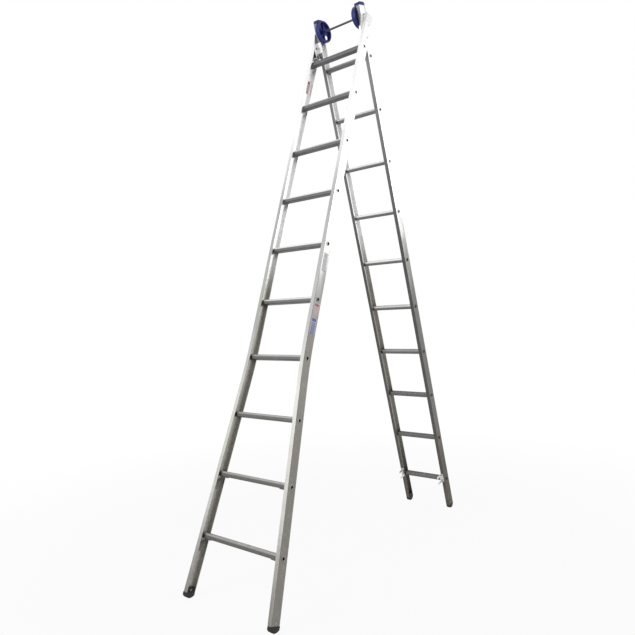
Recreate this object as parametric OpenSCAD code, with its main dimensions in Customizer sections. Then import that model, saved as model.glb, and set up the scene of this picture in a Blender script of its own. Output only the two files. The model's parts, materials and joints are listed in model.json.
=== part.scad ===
// Two-section extension ladder, standing open as an A-frame.
// The base section leans back from the front feet. The fly section leans
// forward from the rear feet and passes up between the base stiles, held in
// two guides that pivot on the base stiles. Shut, the fly lies behind the base
// and slides up it, and its hooks take hold of a base rung.
// Each section is drawn in its own frame: X across, Y towards the back of the
// ladder, Z up along the stile, with the origin at the section's top rung.

/* [Sections] */
// Distance from one rung to the next, along the stile
rung_pitch = 280; // [250:5:300]
// Outside width of the base section above its flare
base_w = 360.6; // [356:0.1:420]
// Angle at which the lower base stiles flare out
flare = 4.79; // [3:0.1:6]
// Distance from the top rung down to the middle of the flare's bend
bend_at = 1691; // [1560:5:1730]
// Radius of the bend where the flare starts
bend_r = 2400; // [1500:50:3000]
// Room on each side between the fly stile's web and the base stile's edges
side_gap = 4.3; // [4:0.1:6]
// Gap between the two sections when they are shut together
fold_gap = 5; // [4:0.5:12]
// How far the fly rungs sit below the base rungs when shut
rung_offset = 18.3; // [14:0.1:24]
// Angle between the sections when the ladder stands open
open_angle = 34.94; // [30:0.1:38]

/* [Stiles] */
// Depth of the stile channel, front to back
stile_d = 50; // [46:1:60]
// Width of the channel's flanges
flange_w = 21; // [18:0.5:26]
// Wall thickness of the channel
stile_t = 1.8; // [1.4:0.1:2.4]
// Height of the raised bead along each edge of the web
bead_h = 0.6; // [0.3:0.1:0.7]
// Width of the raised bead
bead_w = 6; // [4:0.5:7]
// Length of base stile above the top rung
base_top = 140; // [135:1:190]
// Length of base stile below the lowest rung
base_tail = 248; // [200:1:300]
// Length of fly stile above the top rung
fly_top = 257; // [240:1:300]
// Length of fly stile below the lowest rung
fly_tail = 174.3; // [150:1:230]

/* [Rungs] */
// Depth of the rung, front to back
rung_d = 27; // [24:1:30]
// Height of the rung
rung_h = 25; // [22:1:28]
// Wall thickness of the rung
rung_t = 1.6; // [1.2:0.1:2.2]
// Rounding of the rung's edges
rung_r = 5; // [3:0.5:6]
// Depth of the grooves in the tread
groove_h = 0.8; // [0.4:0.1:1]
// Width of each groove in the tread
groove_w = 1.6; // [1:0.1:2.2]
// Radius of the rung's neck where it passes through the stile
neck_r = 9.9; // [9:0.1:10.5]
// Radius of the hole through the neck
neck_bore = 7.4; // [6:0.1:8]
// Radius of the rolled lip that locks the rung in the stile
lip_r = 11.4; // [11:0.1:13]
// Thickness of the rolled lip
lip_t = 1.4; // [1:0.1:1.6]
// Radial clearance of the neck in its hole
neck_gap = 0.05; // [0.02:0.01:0.2]

/* [Rung braces] */
// Bend radius of the brace strap
brace_r = 50; // [36:1:60]
// Thickness of the brace strap
brace_t = 3; // [2:0.5:4]
// Width of the brace strap
brace_w = 16; // [12:1:16]
// Length of the flat tab at each end of the strap
brace_tab = 14; // [13:1:20]

/* [Feet] */
// Radius of the base foot's rounded sole
base_sole_r = 34; // [30:1:44]
// Depth of the base foot, front to back
base_sole_d = 51; // [50:1:58]
// Length of the base foot below the stile, to the bottom of its sole
base_sole_h = 26; // [20:1:34]
// How far the base sole stands out past the stile at each side
sole_lap = 0.5; // [0.5:0.5:3]
// Radius of the fly foot's round end
fly_sole_r = 26; // [25:0.5:32]
// How far the soles are pressed flat where the ladder stands on them
sole_flat = 0.4; // [0.2:0.1:0.8]
// Length of the plug that holds each foot in its stile
plug_h = 18; // [15:1:40]

/* [Heads] */
// Radius of the head disc
head_r = 57.5; // [52:0.5:62]
// Thickness of the head disc
head_w = 22; // [18:1:24]
// Width of the disc's raised rim
head_rim = 6.5; // [5:0.5:9]
// Thickness of the disc's web
head_web = 5; // [3:0.5:7]
// How far the disc's web is set back from its outer face
web_set = 2; // [1:0.5:3]
// Radius of the hub around the tie rod
hub_r = 15; // [12:0.5:17]
// Thickness of the ribs on the disc
head_rib = 4; // [2.5:0.5:5]
// Height of the ribs on the disc
rib_h = 8; // [4:0.5:10]
// Radius of the sleeve that the hub carries along the tie rod
sleeve_r = 8; // [7.5:0.5:10]
// Length of the sleeve beyond the disc
sleeve_l = 26; // [10:1:40]
// Radius of the tie rod
rod_r = 5.5; // [4:0.25:6]
// Height of the tie rod above the fly's top rung
rod_z = 206.5; // [202:0.5:210]
// Distance of the tie rod behind the fly stile's middle
rod_n = 8; // [0:0.5:9]
// Thickness of the cap over the stile's end
cap_h = 16; // [13:1:22]
// Wall thickness of the cap around the stile
cap_t = 1.8; // [1.4:0.1:2.2]
// Rounding of the cap's corners
cap_round = 12; // [8:0.5:12]
// How far the cap's skirt comes down the back of the stile
skirt_h = 35; // [15:1:45]

/* [Guides] */
// Thickness of the guide plate
guide_t = 2; // [1.6:0.1:2.4]
// Running clearance between the guide and the fly stile
guide_gap = 0.3; // [0.3:0.05:0.5]
// Height of the guide's top edge above the fly's top rung
guide_top = 205; // [190:1:215]
// Height of the lower edge of the guide's lips above the fly's top rung
guide_low = 100; // [96:1:115]
// Height of the pivot above the base's top rung
pivot_z = 62.4; // [58:0.1:66]
// Distance of the pivot behind the middle of the base stile
pivot_n = 14; // [12:0.1:14.5]
// Radius of the pivot bolt
pivot_r = 4; // [3:0.25:4.5]
// Radial running clearance on the pivot bolt
pivot_gap = 0.05; // [0.02:0.01:0.1]
// Radius of the spacer around the pivot bolt
spacer_r = 6.2; // [5.5:0.1:6.6]
// Distance from the pivot to the stop pin
stop_at = 47.4; // [44:0.1:50]
// Angle of the stop pin in front of the base stile's line when open
stop_angle = 33.3; // [30:0.1:36]
// Radius of the stop pin
stop_r = 3; // [2.5:0.25:3.5]
// How far the head bracket stands up out of the base stile
bracket_up = 60; // [40:1:80]
// Thickness of the head bracket
bracket_t = 2; // [1.5:0.1:2.4]

/* [Hooks] */
// Thickness of the hook plate
hook_t = 3; // [2.5:0.25:4]
// Clearance around a base rung in the hook's mouth
hook_gap = 1; // [0.6:0.1:2]
// Height of each jaw above and below the mouth
jaw_h = 12; // [8:1:15]
// How far the jaws reach past the base rung
jaw_reach = 8; // [4:1:14]

/* [Rivets] */
// Radius of the rivet shanks
rivet_r = 2.4; // [1.6:0.1:2.4]
// Radius of the rivet heads
rivet_head_r = 4.4; // [3.8:0.1:4.8]
// Height of the rivet heads
rivet_head_h = 1.6; // [1:0.1:2]

/* [Hidden] */
$fn = 48;

rungs = 10;                      // rungs in each section
far = 4 * stile_d;               // longer than any cut needs to be
through = far / 8;               // half the length of a hole's cutter, more than any wall
half_d = stile_d / 2;
web_in = bead_h + stile_t;       // depth of the web's inner face
flange_in = half_d - stile_t;    // distance of a flange's inner face from the middle
edge_h = 1.2;                    // extra thickness of the flange's edge
edge_w = 3;                      // width of that thicker edge
chamfer = 1;                     // broken outer corner of the channel
low_rung = (rungs - 1) * rung_pitch;

base_half = base_w / 2;
fly_half = base_half - flange_w - side_gap;

// Flare of the base stile: web position and slope at a distance s below the
// top rung, along a straight run, an arc and a second straight run.
bend_from = bend_at - bend_r * tan(flare / 2);
bend_to = bend_from + bend_r * sin(flare);
bend_out = base_half + bend_r * (1 - cos(flare));
function slope(s) = s < bend_from ? 0
                  : s < bend_to ? asin((s - bend_from) / bend_r) : flare;
function web_x(s) = s < bend_from ? base_half
                  : s < bend_to ? base_half + bend_r * (1 - cos(slope(s)))
                  : bend_out + (s - bend_to) * tan(flare);
base_end = low_rung + base_tail;
fly_end = low_rung + fly_tail;

// The pivot in the fly's frame: shut, the fly lies parallel behind the base.
fly_pivot_n = pivot_n - stile_d - fold_gap;
fly_pivot_z = pivot_z + rung_offset;

// Centres of the round soles, and the leans at which both feet meet the floor.
base_sole_z = -(base_end + base_sole_h - base_sole_r);
fly_sole_z = -fly_end;
drop_base = pivot_z - base_sole_z;
drop_fly = fly_pivot_z - fly_sole_z;
lean_a = drop_base - drop_fly * cos(open_angle) - fly_pivot_n * sin(open_angle);
lean_b = -pivot_n - drop_fly * sin(open_angle) + fly_pivot_n * cos(open_angle);
lean_c = fly_sole_r - base_sole_r;
base_lean = atan2(lean_b, lean_a) + acos(lean_c / sqrt(lean_a ^ 2 + lean_b ^ 2));
fly_lean = open_angle - base_lean;

// The pivot above the floor, and its place between the outermost points of
// the feet, so that the origin is under the middle of the whole ladder.
pivot_up = drop_base * cos(base_lean) - pivot_n * sin(base_lean) + base_sole_r - sole_flat;
sole_corner = sqrt(base_sole_r ^ 2 - (base_sole_d / 2) ^ 2);
reach_front = (base_sole_d / 2 + pivot_n) * cos(base_lean)
            + (drop_base + sole_corner) * sin(base_lean);
reach_back = drop_fly * sin(fly_lean) - fly_pivot_n * cos(fly_lean) + fly_sole_r;
pivot_y = (reach_front - reach_back) / 2;

// ---- placing ----

// Both pivot frames have their origin on the pivot axis.
module from_pivot() translate([0, pivot_y, pivot_up]) children();
module in_base() from_pivot() rotate([-base_lean, 0, 0]) translate([0, -pivot_n, -pivot_z]) children();
module in_fly() from_pivot() rotate([fly_lean, 0, 0]) translate([0, -fly_pivot_n, -fly_pivot_z]) children();

// side is 1 for the right hand piece and -1 for the left hand one.
module sided(side) mirror([side < 0 ? 1 : 0, 0, 0]) children();
module both() for (side = [-1, 1]) sided(side) children();

// The stile's own frame at a distance s below the top rung: X out of the web.
module on_base_web(s) translate([web_x(s), 0, -s]) rotate([0, -slope(s), 0]) children();
module on_fly_web(s) translate([fly_half, 0, -s]) children();

// A rod along X from x0 to x1, centred on Y and Z zero.
module x_rod(r, x0, x1) translate([x0, 0, 0]) rotate([0, 90, 0]) cylinder(r = r, h = x1 - x0);
// A block from x0 to x1 with the outline drawn in Y and Z.
module x_slab(x0, x1) translate([x0, 0, 0]) rotate([90, 0, 90]) linear_extrude(x1 - x0) children();

// ---- stiles ----

// One half of the channel's outline, from the web's middle to the flange's edge
// and back. X is 0 at the face of the bead and falls towards the inside.
function channel_half() = [
  [-bead_h, half_d - bead_w - bead_h],
  [0, half_d - bead_w],
  [0, half_d - chamfer],
  [-chamfer, half_d],
  [-flange_w, half_d],
  [-flange_w, flange_in - edge_h],
  [edge_w - flange_w, flange_in - edge_h],
  [edge_w - flange_w, flange_in],
  [-web_in, flange_in],
];
function flipped(points) = [for (i = [len(points) - 1:-1:0]) [points[i][0], -points[i][1]]];
function channel() = concat(channel_half(), flipped(channel_half()));
module channel_run(length) translate([0, 0, -length]) linear_extrude(length) polygon(channel());

module neck_hole() x_rod(neck_r + neck_gap, -through, through);
module rivet_hole() x_rod(rivet_r + neck_gap, -through, through);

seam = 0.02;                     // overlap that joins the flared run to the bend
module base_channel() {
  translate([base_half, 0, base_top]) channel_run(base_top + bend_from);
  translate([base_half + bend_r, 0, -bend_from]) rotate([90, 0, 0]) rotate([0, 0, 180])
    rotate_extrude(angle = flare, $fn = 720) polygon([for (p = channel()) [bend_r - p[0], p[1]]]);
  on_base_web(bend_to) translate([0, 0, seam]) channel_run((base_end - bend_to) / cos(flare) + seam);
}

foot_rivet_z = 9;                // height of the foot rivet above the stile's end
bracket_rivet_in = 9;            // distance of the head bracket's rivet from the stile's end
bracket_rivet_z = base_top - bracket_rivet_in;

module base_stile(side) color("silver") in_base() sided(side) difference() {
  base_channel();
  for (k = [0:rungs - 1]) on_base_web(k * rung_pitch) neck_hole();
  for (k = [rungs - 2, rungs - 1]) brace_web_rivet_at(k * rung_pitch) rivet_hole();
  on_base_web(base_end) translate([0, 0, foot_rivet_z]) rivet_hole();
  translate([base_half, 0, bracket_rivet_z]) rivet_hole();
  translate([base_half, pivot_n, pivot_z]) x_rod(pivot_r + pivot_gap, -through, through);
}

module fly_stile(side) color("silver") in_fly() sided(side) difference() {
  translate([fly_half, 0, fly_top]) channel_run(fly_top + fly_end);
  for (k = [0:rungs - 1]) on_fly_web(k * rung_pitch) neck_hole();
  on_fly_web(fly_end) translate([0, 0, foot_rivet_z]) rivet_hole();
  translate([fly_half, rod_n, rod_z]) x_rod(rod_r + neck_gap, -through, through);
  for (z = hook_rivet_z) translate([hook_rivet_x, -half_d, z]) rotate([0, 0, -90]) rivet_hole();
}

// ---- rungs ----

groove_n = 5;                    // grooves in the tread
groove_pitch = (rung_d - 2 * rung_r) / groove_n;
end_wall = 3;                    // thickness of the rung's end wall
arc_steps = 6;                   // flats that make up each rounded edge

function arc(cy, cz, r, from) =
  [for (i = [0:arc_steps]) let(a = from + 90 * i / arc_steps) [cy + r * cos(a), cz + r * sin(a)]];
// Rounded rectangle in Y and Z, run counter-clockwise from the front edge.
function rung_outline(d, h, r) = concat(
  arc(d / 2 - r, h / 2 - r, r, 0), arc(r - d / 2, h / 2 - r, r, 90),
  arc(r - d / 2, r - h / 2, r, 180), arc(d / 2 - r, r - h / 2, r, 270));

module rung_body(half) difference() {
  x_slab(-half, half) difference() {
    polygon(rung_outline(rung_d, rung_h, rung_r));
    for (i = [0:groove_n - 1])
      translate([(i - (groove_n - 1) / 2) * groove_pitch - groove_w / 2, rung_h / 2 - groove_h])
        square([groove_w, 2 * groove_h]);
  }
  x_slab(end_wall - half, half - end_wall) translate([0, -groove_h / 2])
    polygon(rung_outline(rung_d - 2 * rung_t, rung_h - 2 * rung_t - groove_h, rung_r - rung_t));
}

// Rung between two webs whose outer face is at half, sloping by tilt. It is cut
// to the webs, and its necks pass through them and are rolled over outside.
module rung(half, tilt) {
  seat = web_in / cos(tilt);
  overrun = rung_h / 2 * tan(tilt);
  difference() {
    union() {
      difference() {
        rung_body(half - seat + overrun);
        both() translate([half, 0, 0]) rotate([0, -tilt, 0])
          translate([-web_in, -far / 2, -far / 2]) cube(far);
      }
      both() translate([half, 0, 0]) rotate([0, -tilt, 0]) {
        x_rod(neck_r, -web_in - end_wall / 2, -bead_h);
        x_rod(lip_r, -bead_h, lip_t - bead_h);
      }
    }
    both() translate([half, 0, 0]) rotate([0, -tilt, 0]) x_rod(neck_bore, -web_in - 3 * end_wall, lip_t);
  }
}

module base_rung(k) color("silver") in_base() translate([0, 0, -(k - 1) * rung_pitch]) difference() {
  s = (k - 1) * rung_pitch;
  rung(web_x(s), slope(s));
  if (k > rungs - 2)
    both() translate([brace_rung_rivet_x(s), 0, -rung_h / 2]) rotate([0, 90, 0]) rivet_hole();
}
module fly_rung(k) color("silver") in_fly() translate([0, 0, -(k - 1) * rung_pitch]) rung(fly_half, 0);

// ---- braces under the two lowest base rungs ----

// Distance of the bend's centre from the web's inner face at the rung's underside,
// for a strap that is tangent to the rung and to the sloping web.
brace_in = brace_r * (1 - sin(flare)) / cos(flare);
function brace_x(s) = web_x(s + rung_h / 2) - web_in / cos(flare) - brace_in;
function brace_rung_rivet_x(s) = brace_x(s) - brace_tab / 2;
// Puts a child on the web where the strap's lower tab is riveted.
module brace_web_rivet_at(s) translate([brace_x(s), 0, -s - rung_h / 2 - brace_r]) rotate([0, -flare, 0])
  translate([brace_r, 0, -brace_tab / 2]) children();

module brace(k, side) color("gainsboro") in_base() sided(side) difference() {
  s = (k - 1) * rung_pitch;
  translate([brace_x(s), 0, -s - rung_h / 2 - brace_r]) {
    rotate([90, 0, 0]) rotate([0, 0, flare]) rotate_extrude(angle = 90 - flare, $fn = 180)
      translate([brace_r - brace_t, -brace_w / 2]) square([brace_t, brace_w]);
    translate([-brace_tab, -brace_w / 2, brace_r - brace_t]) cube([brace_tab, brace_w, brace_t]);
    rotate([0, -flare, 0]) translate([brace_r - brace_t, -brace_w / 2, -brace_tab])
      cube([brace_t, brace_w, brace_tab]);
  }
  brace_web_rivet_at(s) rivet_hole();
  translate([brace_rung_rivet_x(s), 0, -s - rung_h / 2]) rotate([0, 90, 0]) rivet_hole();
}

rivet_edge = 0.5;                // share of the rivet head's height that has its full radius
rivet_crown = 0.7;               // radius of the head's raised middle, as a share of the head's
rivet_set = 1.3;                 // radius of the set end, as a share of the shank's
// Round-headed rivet along X: its head outside x1 and its set end inside x0.
module rivet(x0, x1) {
  x_rod(rivet_r, x0, x1);
  x_rod(rivet_head_r, x1, x1 + rivet_head_h * rivet_edge);
  x_rod(rivet_head_r * rivet_crown, x1, x1 + rivet_head_h);
  x_rod(rivet_r * rivet_set, x0 - rivet_head_h, x0);
}

module brace_rivets() color("gainsboro") in_base() both() for (k = [rungs - 2, rungs - 1]) {
  brace_web_rivet_at(k * rung_pitch) rivet(-brace_t, web_in - bead_h);
  translate([brace_rung_rivet_x(k * rung_pitch), 0, -k * rung_pitch - rung_h / 2])
    rotate([0, 90, 0]) rivet(-rung_t, brace_t);
}

// ---- feet ----

module plug() difference() {
  translate([edge_w - flange_w, -flange_in, 0]) cube([flange_w - edge_w - web_in, 2 * flange_in, plug_h]);
  translate([0, 0, foot_rivet_z]) rivet_hole();
}

// The floor that the soles are pressed flat against, under one section's feet.
module floor_cut(y) translate([-2 * base_w, y - far / 2, -far]) cube([4 * base_w, far, far]);

module base_foot(side) color("dimgray") difference() {
  in_base() sided(side) {
    on_base_web(base_end) plug();
    intersection() {
      x_slab(web_x(base_end) - flange_w - sole_lap, web_x(base_end + base_sole_h) + sole_lap) intersection() {
        translate([0, base_sole_z]) circle(r = base_sole_r, $fn = 96);
        translate([-base_sole_d / 2, base_sole_z - base_sole_r]) square([base_sole_d, 2 * base_sole_r]);
      }
      on_base_web(base_end) translate([-far / 2, -far / 2, -far]) cube(far);
    }
  }
  floor_cut(pivot_y - drop_base * sin(base_lean));
}
module fly_foot(side) color("dimgray") difference() {
  in_fly() sided(side) on_fly_web(fly_end) {
    plug();
    x_slab(-flange_w - sole_lap, sole_lap) intersection() {
      circle(r = fly_sole_r, $fn = 96);
      translate([-fly_sole_r, -fly_sole_r]) square([2 * fly_sole_r, fly_sole_r]);
    }
  }
  floor_cut(pivot_y + drop_fly * sin(fly_lean));
}
module plug_rivet() translate([0, 0, foot_rivet_z]) rivet(edge_w - flange_w, -bead_h);
module base_foot_rivets() color("silver") in_base() both() on_base_web(base_end) plug_rivet();
module fly_foot_rivets() color("silver") in_fly() both() on_fly_web(fly_end) plug_rivet();

// ---- head brackets and pivots on the base stiles ----

bracket_x = base_half - web_in;  // outer face of the head bracket's web
bracket_down = 24;               // how far the head bracket reaches below the pivot
bracket_low = pivot_z - bracket_down;
slot_r = stop_r + 0.3;           // radius of the ends of the slot that the stop pin runs in
slot_step = 0.1;                 // how much narrower the slot is between its ends
plate_gap = 1.7;                 // room between the fly stile's web and the guide plate
guide_x = fly_half + plate_gap;  // inner face of the guide plate
spacer_gap = 0.3;                // end clearance beside the guide plate

// Point at an angle in front of the base stile's line, at the stop pin's radius.
module at_stop(angle)
  translate([0, pivot_n, pivot_z]) rotate([angle, 0, 0]) translate([0, 0, stop_at]) children();

module head_bracket(side) color("gainsboro") in_base() sided(side) difference() {
  translate([base_half - flange_w, -flange_in, bracket_low])
    cube([flange_w - web_in, 2 * flange_in, base_top + bracket_up - bracket_low]);
  translate([bracket_x - bracket_t - far, bracket_t - flange_in, bracket_low - far / 2])
    cube([far, 2 * (flange_in - bracket_t), 3 * far]);
  translate([base_half - flange_w - far + edge_w, -far / 2, bracket_low - far / 2])
    cube([far, far, base_top - bracket_low + far / 2]);
  translate([base_half, 0, bracket_rivet_z]) rivet_hole();
  translate([base_half, pivot_n, pivot_z]) x_rod(pivot_r + pivot_gap, -through, through);
  for (angle = [stop_angle, stop_angle - open_angle]) at_stop(angle) x_rod(slot_r, 0, base_half);
  translate([bracket_x - 2 * bracket_t, pivot_n, pivot_z]) rotate([0, 90, 0])
    rotate([0, 0, 180 + stop_angle - open_angle]) rotate_extrude(angle = open_angle, $fn = 180)
      translate([stop_at - slot_r + slot_step, 0]) square([2 * (slot_r - slot_step), 3 * bracket_t]);
}
module head_bracket_rivets() color("gainsboro") in_base() both()
  translate([base_half, 0, bracket_rivet_z]) rivet(-web_in - bracket_t, -bead_h);

bolt_head_r = 8;
bolt_head_h = 3.6;
nut_h = 6.5;
nut_w = 13;                      // nut width across flats
nut_r = nut_w / sqrt(3);
bolt_stub = 1.5;                 // how far the bolt stands out of its nut
bolt_end = guide_x - spacer_gap - nut_h - bolt_stub;
module at_pivot() in_base() both() translate([0, pivot_n, pivot_z]) children();
module pivot_bolts() color("gainsboro") at_pivot() {
  x_rod(pivot_r, bolt_end, base_half);
  translate([base_half, 0, 0]) rotate([0, 90, 0]) rotate_extrude($fn = 64) intersection() {
    translate([0, -(bolt_head_r ^ 2 - bolt_head_h ^ 2) / (2 * bolt_head_h)])
      circle(r = (bolt_head_r ^ 2 + bolt_head_h ^ 2) / (2 * bolt_head_h), $fn = 128);
    square([bolt_head_r, bolt_head_h]);
  }
}
module pivot_spacers() color("gainsboro") at_pivot() difference() {
  x_rod(spacer_r, guide_x + guide_t + spacer_gap, bracket_x - bracket_t);
  x_rod(pivot_r + pivot_gap, 0, base_half);
}
module pivot_nuts() color("dimgray") at_pivot() difference() {
  translate([guide_x - spacer_gap - nut_h, 0, 0]) rotate([0, 90, 0]) cylinder(r = nut_r, h = nut_h, $fn = 6);
  x_rod(pivot_r + pivot_gap, 0, base_half);
}

// ---- guides that carry the fly, drawn in the fly's frame ----

guide_boss = 14;                 // radius of the plate around the pivot
return_w = 6;                    // how far the lips' returns reach in along the stile's edges
lip_in = half_d + guide_gap;     // inner face of each lip
lip_out = lip_in + guide_t;
return_gap = 0.4;                // room between the stile's edges and the returns
return_x = fly_half - flange_w - return_gap;
stop_rest = 0.3;                 // gap between the head disc and the lip that stops it
// Top of a lip: the head disc's rim comes to rest on the return's inner edge.
function lip_top(side) = rod_z - sqrt(head_r ^ 2 - (side * (lip_in - return_w) - rod_n) ^ 2) - stop_rest;
// Corners of the plate's front edge: in front of the lip at the top, then in
// front of the pivot, and how far the two lower ones are above guide_low.
top_front = 1.5;
shoulder_n = 9;
shoulder_z = 50;
elbow_n = 19;
elbow_z = 20;
chin_z = 11.2;                   // how far the plate's lower edge is below the pivot
module guide_outline() {
  polygon([
    [lip_out, guide_top], [-lip_out - top_front, guide_top],
    [fly_pivot_n - shoulder_n, guide_low + shoulder_z], [fly_pivot_n - elbow_n, guide_low + elbow_z],
    [fly_pivot_n - guide_boss, fly_pivot_z], [fly_pivot_n, fly_pivot_z - guide_boss / 2],
    [fly_pivot_n + guide_boss / 2, fly_pivot_z - chin_z], [lip_out, guide_low],
  ]);
  translate([fly_pivot_n, fly_pivot_z]) circle(r = guide_boss);
}
module guide(side) color("lightgray") in_fly() sided(side) difference() {
  union() {
    x_slab(guide_x, guide_x + guide_t) guide_outline();
    for (face = [-1, 1]) {
      x_slab(return_x - guide_t, guide_x + guide_t)
        translate([face > 0 ? lip_in : -lip_out, guide_low]) square([guide_t, lip_top(face) - guide_low]);
      x_slab(return_x - guide_t, return_x)
        translate([face > 0 ? lip_in - return_w : -lip_out, guide_low])
          square([return_w + guide_t, lip_top(face) - guide_low]);
    }
  }
  translate([0, fly_pivot_n, fly_pivot_z]) x_rod(pivot_r + pivot_gap, 0, base_half);
  at_fly_stop() x_rod(stop_r + neck_gap, 0, base_half);
}
module at_fly_stop() translate([0, fly_pivot_n, fly_pivot_z]) rotate([stop_angle - open_angle, 0, 0])
  translate([0, 0, stop_at]) children();

collar_r = 5;
collar_h = 2;
module stop_pins() color("dimgray") in_fly() both() at_fly_stop() {
  x_rod(stop_r, guide_x - collar_h, bracket_x - spacer_gap);
  x_rod(collar_r, guide_x - collar_h, guide_x);
  x_rod(collar_r, guide_x + guide_t, guide_x + guide_t + collar_h);
}

// ---- heads and tie rod on the fly ----

head_gap = 1;                         // room between the disc and the stile's edges
head_x = fly_half - flange_w - head_gap;
dish_x = head_x - web_set - head_web; // inner face of the disc's web
boss_r = 12;                          // boss that holds the disc off the stile's web
window_r = 12;                        // half width of the finger window
window_gap = 4;                       // how much longer than wide the window is
window_rim = 2.5;                     // web left between the window and the rim
window_at = head_r - head_rim - window_r - window_rim;
window_angle = -45;                   // direction of the window, down from the back
rib_angles = [10, 82, 148, 214, 262]; // ribs, clear of the window
cap_gap = 0.15;                       // clearance of the cap around the stile
cap_front = half_d + cap_gap + cap_t; // front and back faces of the cap
cap_x = fly_half + cap_gap + cap_t;   // outer face of the cap
cap_z = fly_top + cap_h;              // top of the cap
rod_lip_r = 8;
rod_lip_t = 1.2;

module window_shape() rotate([0, 0, window_angle]) translate([window_at, 0]) {
  for (end = [-1, 1]) translate([0, end * window_gap / 2]) circle(r = window_r);
  translate([-window_r, -window_gap / 2]) square([2 * window_r, window_gap]);
}
module head(side) color("darkslateblue") in_fly() sided(side) difference() {
  union() {
    translate([0, rod_n, rod_z]) {
      difference() {
        x_rod(head_r, head_x - head_w, head_x, $fn = 96);
        x_rod(head_r - head_rim, head_x - head_w - 1, dish_x);
        x_rod(head_r - head_rim, head_x - web_set, head_x + 1);
      }
      x_rod(hub_r, head_x - head_w, head_x);
      x_rod(sleeve_r, head_x - head_w - sleeve_l, head_x);
      x_rod(boss_r, dish_x, fly_half - web_in);
      for (angle = rib_angles)
        rotate([angle, 0, 0]) translate([dish_x - rib_h, hub_r - 1, -head_rib / 2])
          cube([rib_h + 1, head_r - head_rim - hub_r + 2, head_rib]);
    }
    head_cap();
  }
  translate([0, rod_n, rod_z]) x_rod(rod_r + neck_gap, 0, base_half);
  translate([0, rod_n, rod_z]) x_slab(dish_x - 1, head_x) window_shape();
}
// The cap's outline from the side, over an outline from above that rounds its
// front outer corner, and the skirt down the back of the stile.
module head_cap() {
  intersection() {
    x_slab(dish_x, cap_x) polygon(concat(
      arc(cap_front - cap_round, cap_z - cap_round, cap_round, 0),
      arc(cap_round - cap_front, cap_z - cap_round, cap_round, 90),
      [[-cap_front, fly_top], [cap_front, fly_top]]));
    linear_extrude(cap_z + 1) polygon(concat(
      arc(cap_x - cap_round, cap_round - cap_front, cap_round, 270),
      [[cap_x, far], [0, far], [0, -cap_front]]));
  }
  translate([fly_half - flange_w, half_d + cap_gap, fly_top - skirt_h]) cube([flange_w, cap_t, skirt_h + 1]);
}

module tie_rod() color("dimgray") in_fly() translate([0, rod_n, rod_z]) {
  x_rod(rod_r, -fly_half, fly_half);
  both() x_rod(rod_lip_r, fly_half - bead_h, fly_half - bead_h + rod_lip_t);
}

// ---- hooks at the foot of the fly ----

// When shut, a base rung stands in each hook's mouth.
mouth_n = -(stile_d + fold_gap);
mouth_z = rung_offset - low_rung;
hook_top = mouth_z + rung_h / 2 + hook_gap + jaw_h;
hook_low = mouth_z - rung_h / 2 - hook_gap - jaw_h;
hook_tip = mouth_n - rung_d / 2 - jaw_reach;
hook_x = fly_half - flange_w;
leaf_w = 15;                     // width of the hook's leaf on the flange
lead_in = 4;                     // bevel at the mouth of the jaws
hook_rivet_in = 8;               // distance of the rivets from the leaf's inner edge
hook_rivet_end = 8;              // distance of the rivets from the leaf's ends
hook_rivet_x = hook_x + hook_rivet_in;
hook_rivet_z = [hook_top - hook_rivet_end, hook_low + hook_rivet_end];
module hook(side) color("white") in_fly() sided(side) difference() {
  union() {
    x_slab(hook_x, hook_x + hook_t) difference() {
      polygon([
        [-half_d, hook_low], [-half_d, hook_top], [hook_tip + lead_in, hook_top],
        [hook_tip, hook_top - lead_in], [hook_tip, hook_low + lead_in], [hook_tip + lead_in, hook_low],
      ]);
      translate([hook_tip - 1, mouth_z - rung_h / 2 - hook_gap])
        square([mouth_n + rung_d / 2 + hook_gap - hook_tip + 1, rung_h + 2 * hook_gap]);
    }
    translate([hook_x, -half_d - hook_t, hook_low]) cube([leaf_w, hook_t, hook_top - hook_low]);
  }
  for (z = hook_rivet_z) translate([hook_rivet_x, -half_d, z]) rotate([0, 0, -90]) rivet_hole();
}
module hook_rivets() color("silver") in_fly() both() for (z = hook_rivet_z)
  translate([hook_rivet_x, -half_d, z]) rotate([0, 0, -90]) rivet(-stile_t, hook_t);

base_stile(-1);  // base_stile_left
base_stile(1);  // base_stile_right
base_rung(1);  // base_rung_1
base_rung(2);  // base_rung_2
base_rung(3);  // base_rung_3
base_rung(4);  // base_rung_4
base_rung(5);  // base_rung_5
base_rung(6);  // base_rung_6
base_rung(7);  // base_rung_7
base_rung(8);  // base_rung_8
base_rung(9);  // base_rung_9
base_rung(10);  // base_rung_10
brace(9, -1);  // brace_9_left
brace(9, 1);  // brace_9_right
brace(10, -1);  // brace_10_left
brace(10, 1);  // brace_10_right
brace_rivets();
base_foot(-1);  // base_foot_left
base_foot(1);  // base_foot_right
base_foot_rivets();
head_bracket(-1);  // head_bracket_left
head_bracket(1);  // head_bracket_right
head_bracket_rivets();
pivot_bolts();
pivot_spacers();
pivot_nuts();
guide(-1);  // guide_left
guide(1);  // guide_right
stop_pins();
fly_stile(-1);  // fly_stile_left
fly_stile(1);  // fly_stile_right
fly_rung(1);  // fly_rung_1
fly_rung(2);  // fly_rung_2
fly_rung(3);  // fly_rung_3
fly_rung(4);  // fly_rung_4
fly_rung(5);  // fly_rung_5
fly_rung(6);  // fly_rung_6
fly_rung(7);  // fly_rung_7
fly_rung(8);  // fly_rung_8
fly_rung(9);  // fly_rung_9
fly_rung(10);  // fly_rung_10
head(-1);  // head_left
head(1);  // head_right
tie_rod();
hook(-1);  // hook_left
hook(1);  // hook_right
hook_rivets();
fly_foot(-1);  // fly_foot_left
fly_foot(1);  // fly_foot_right
fly_foot_rivets();
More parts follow.
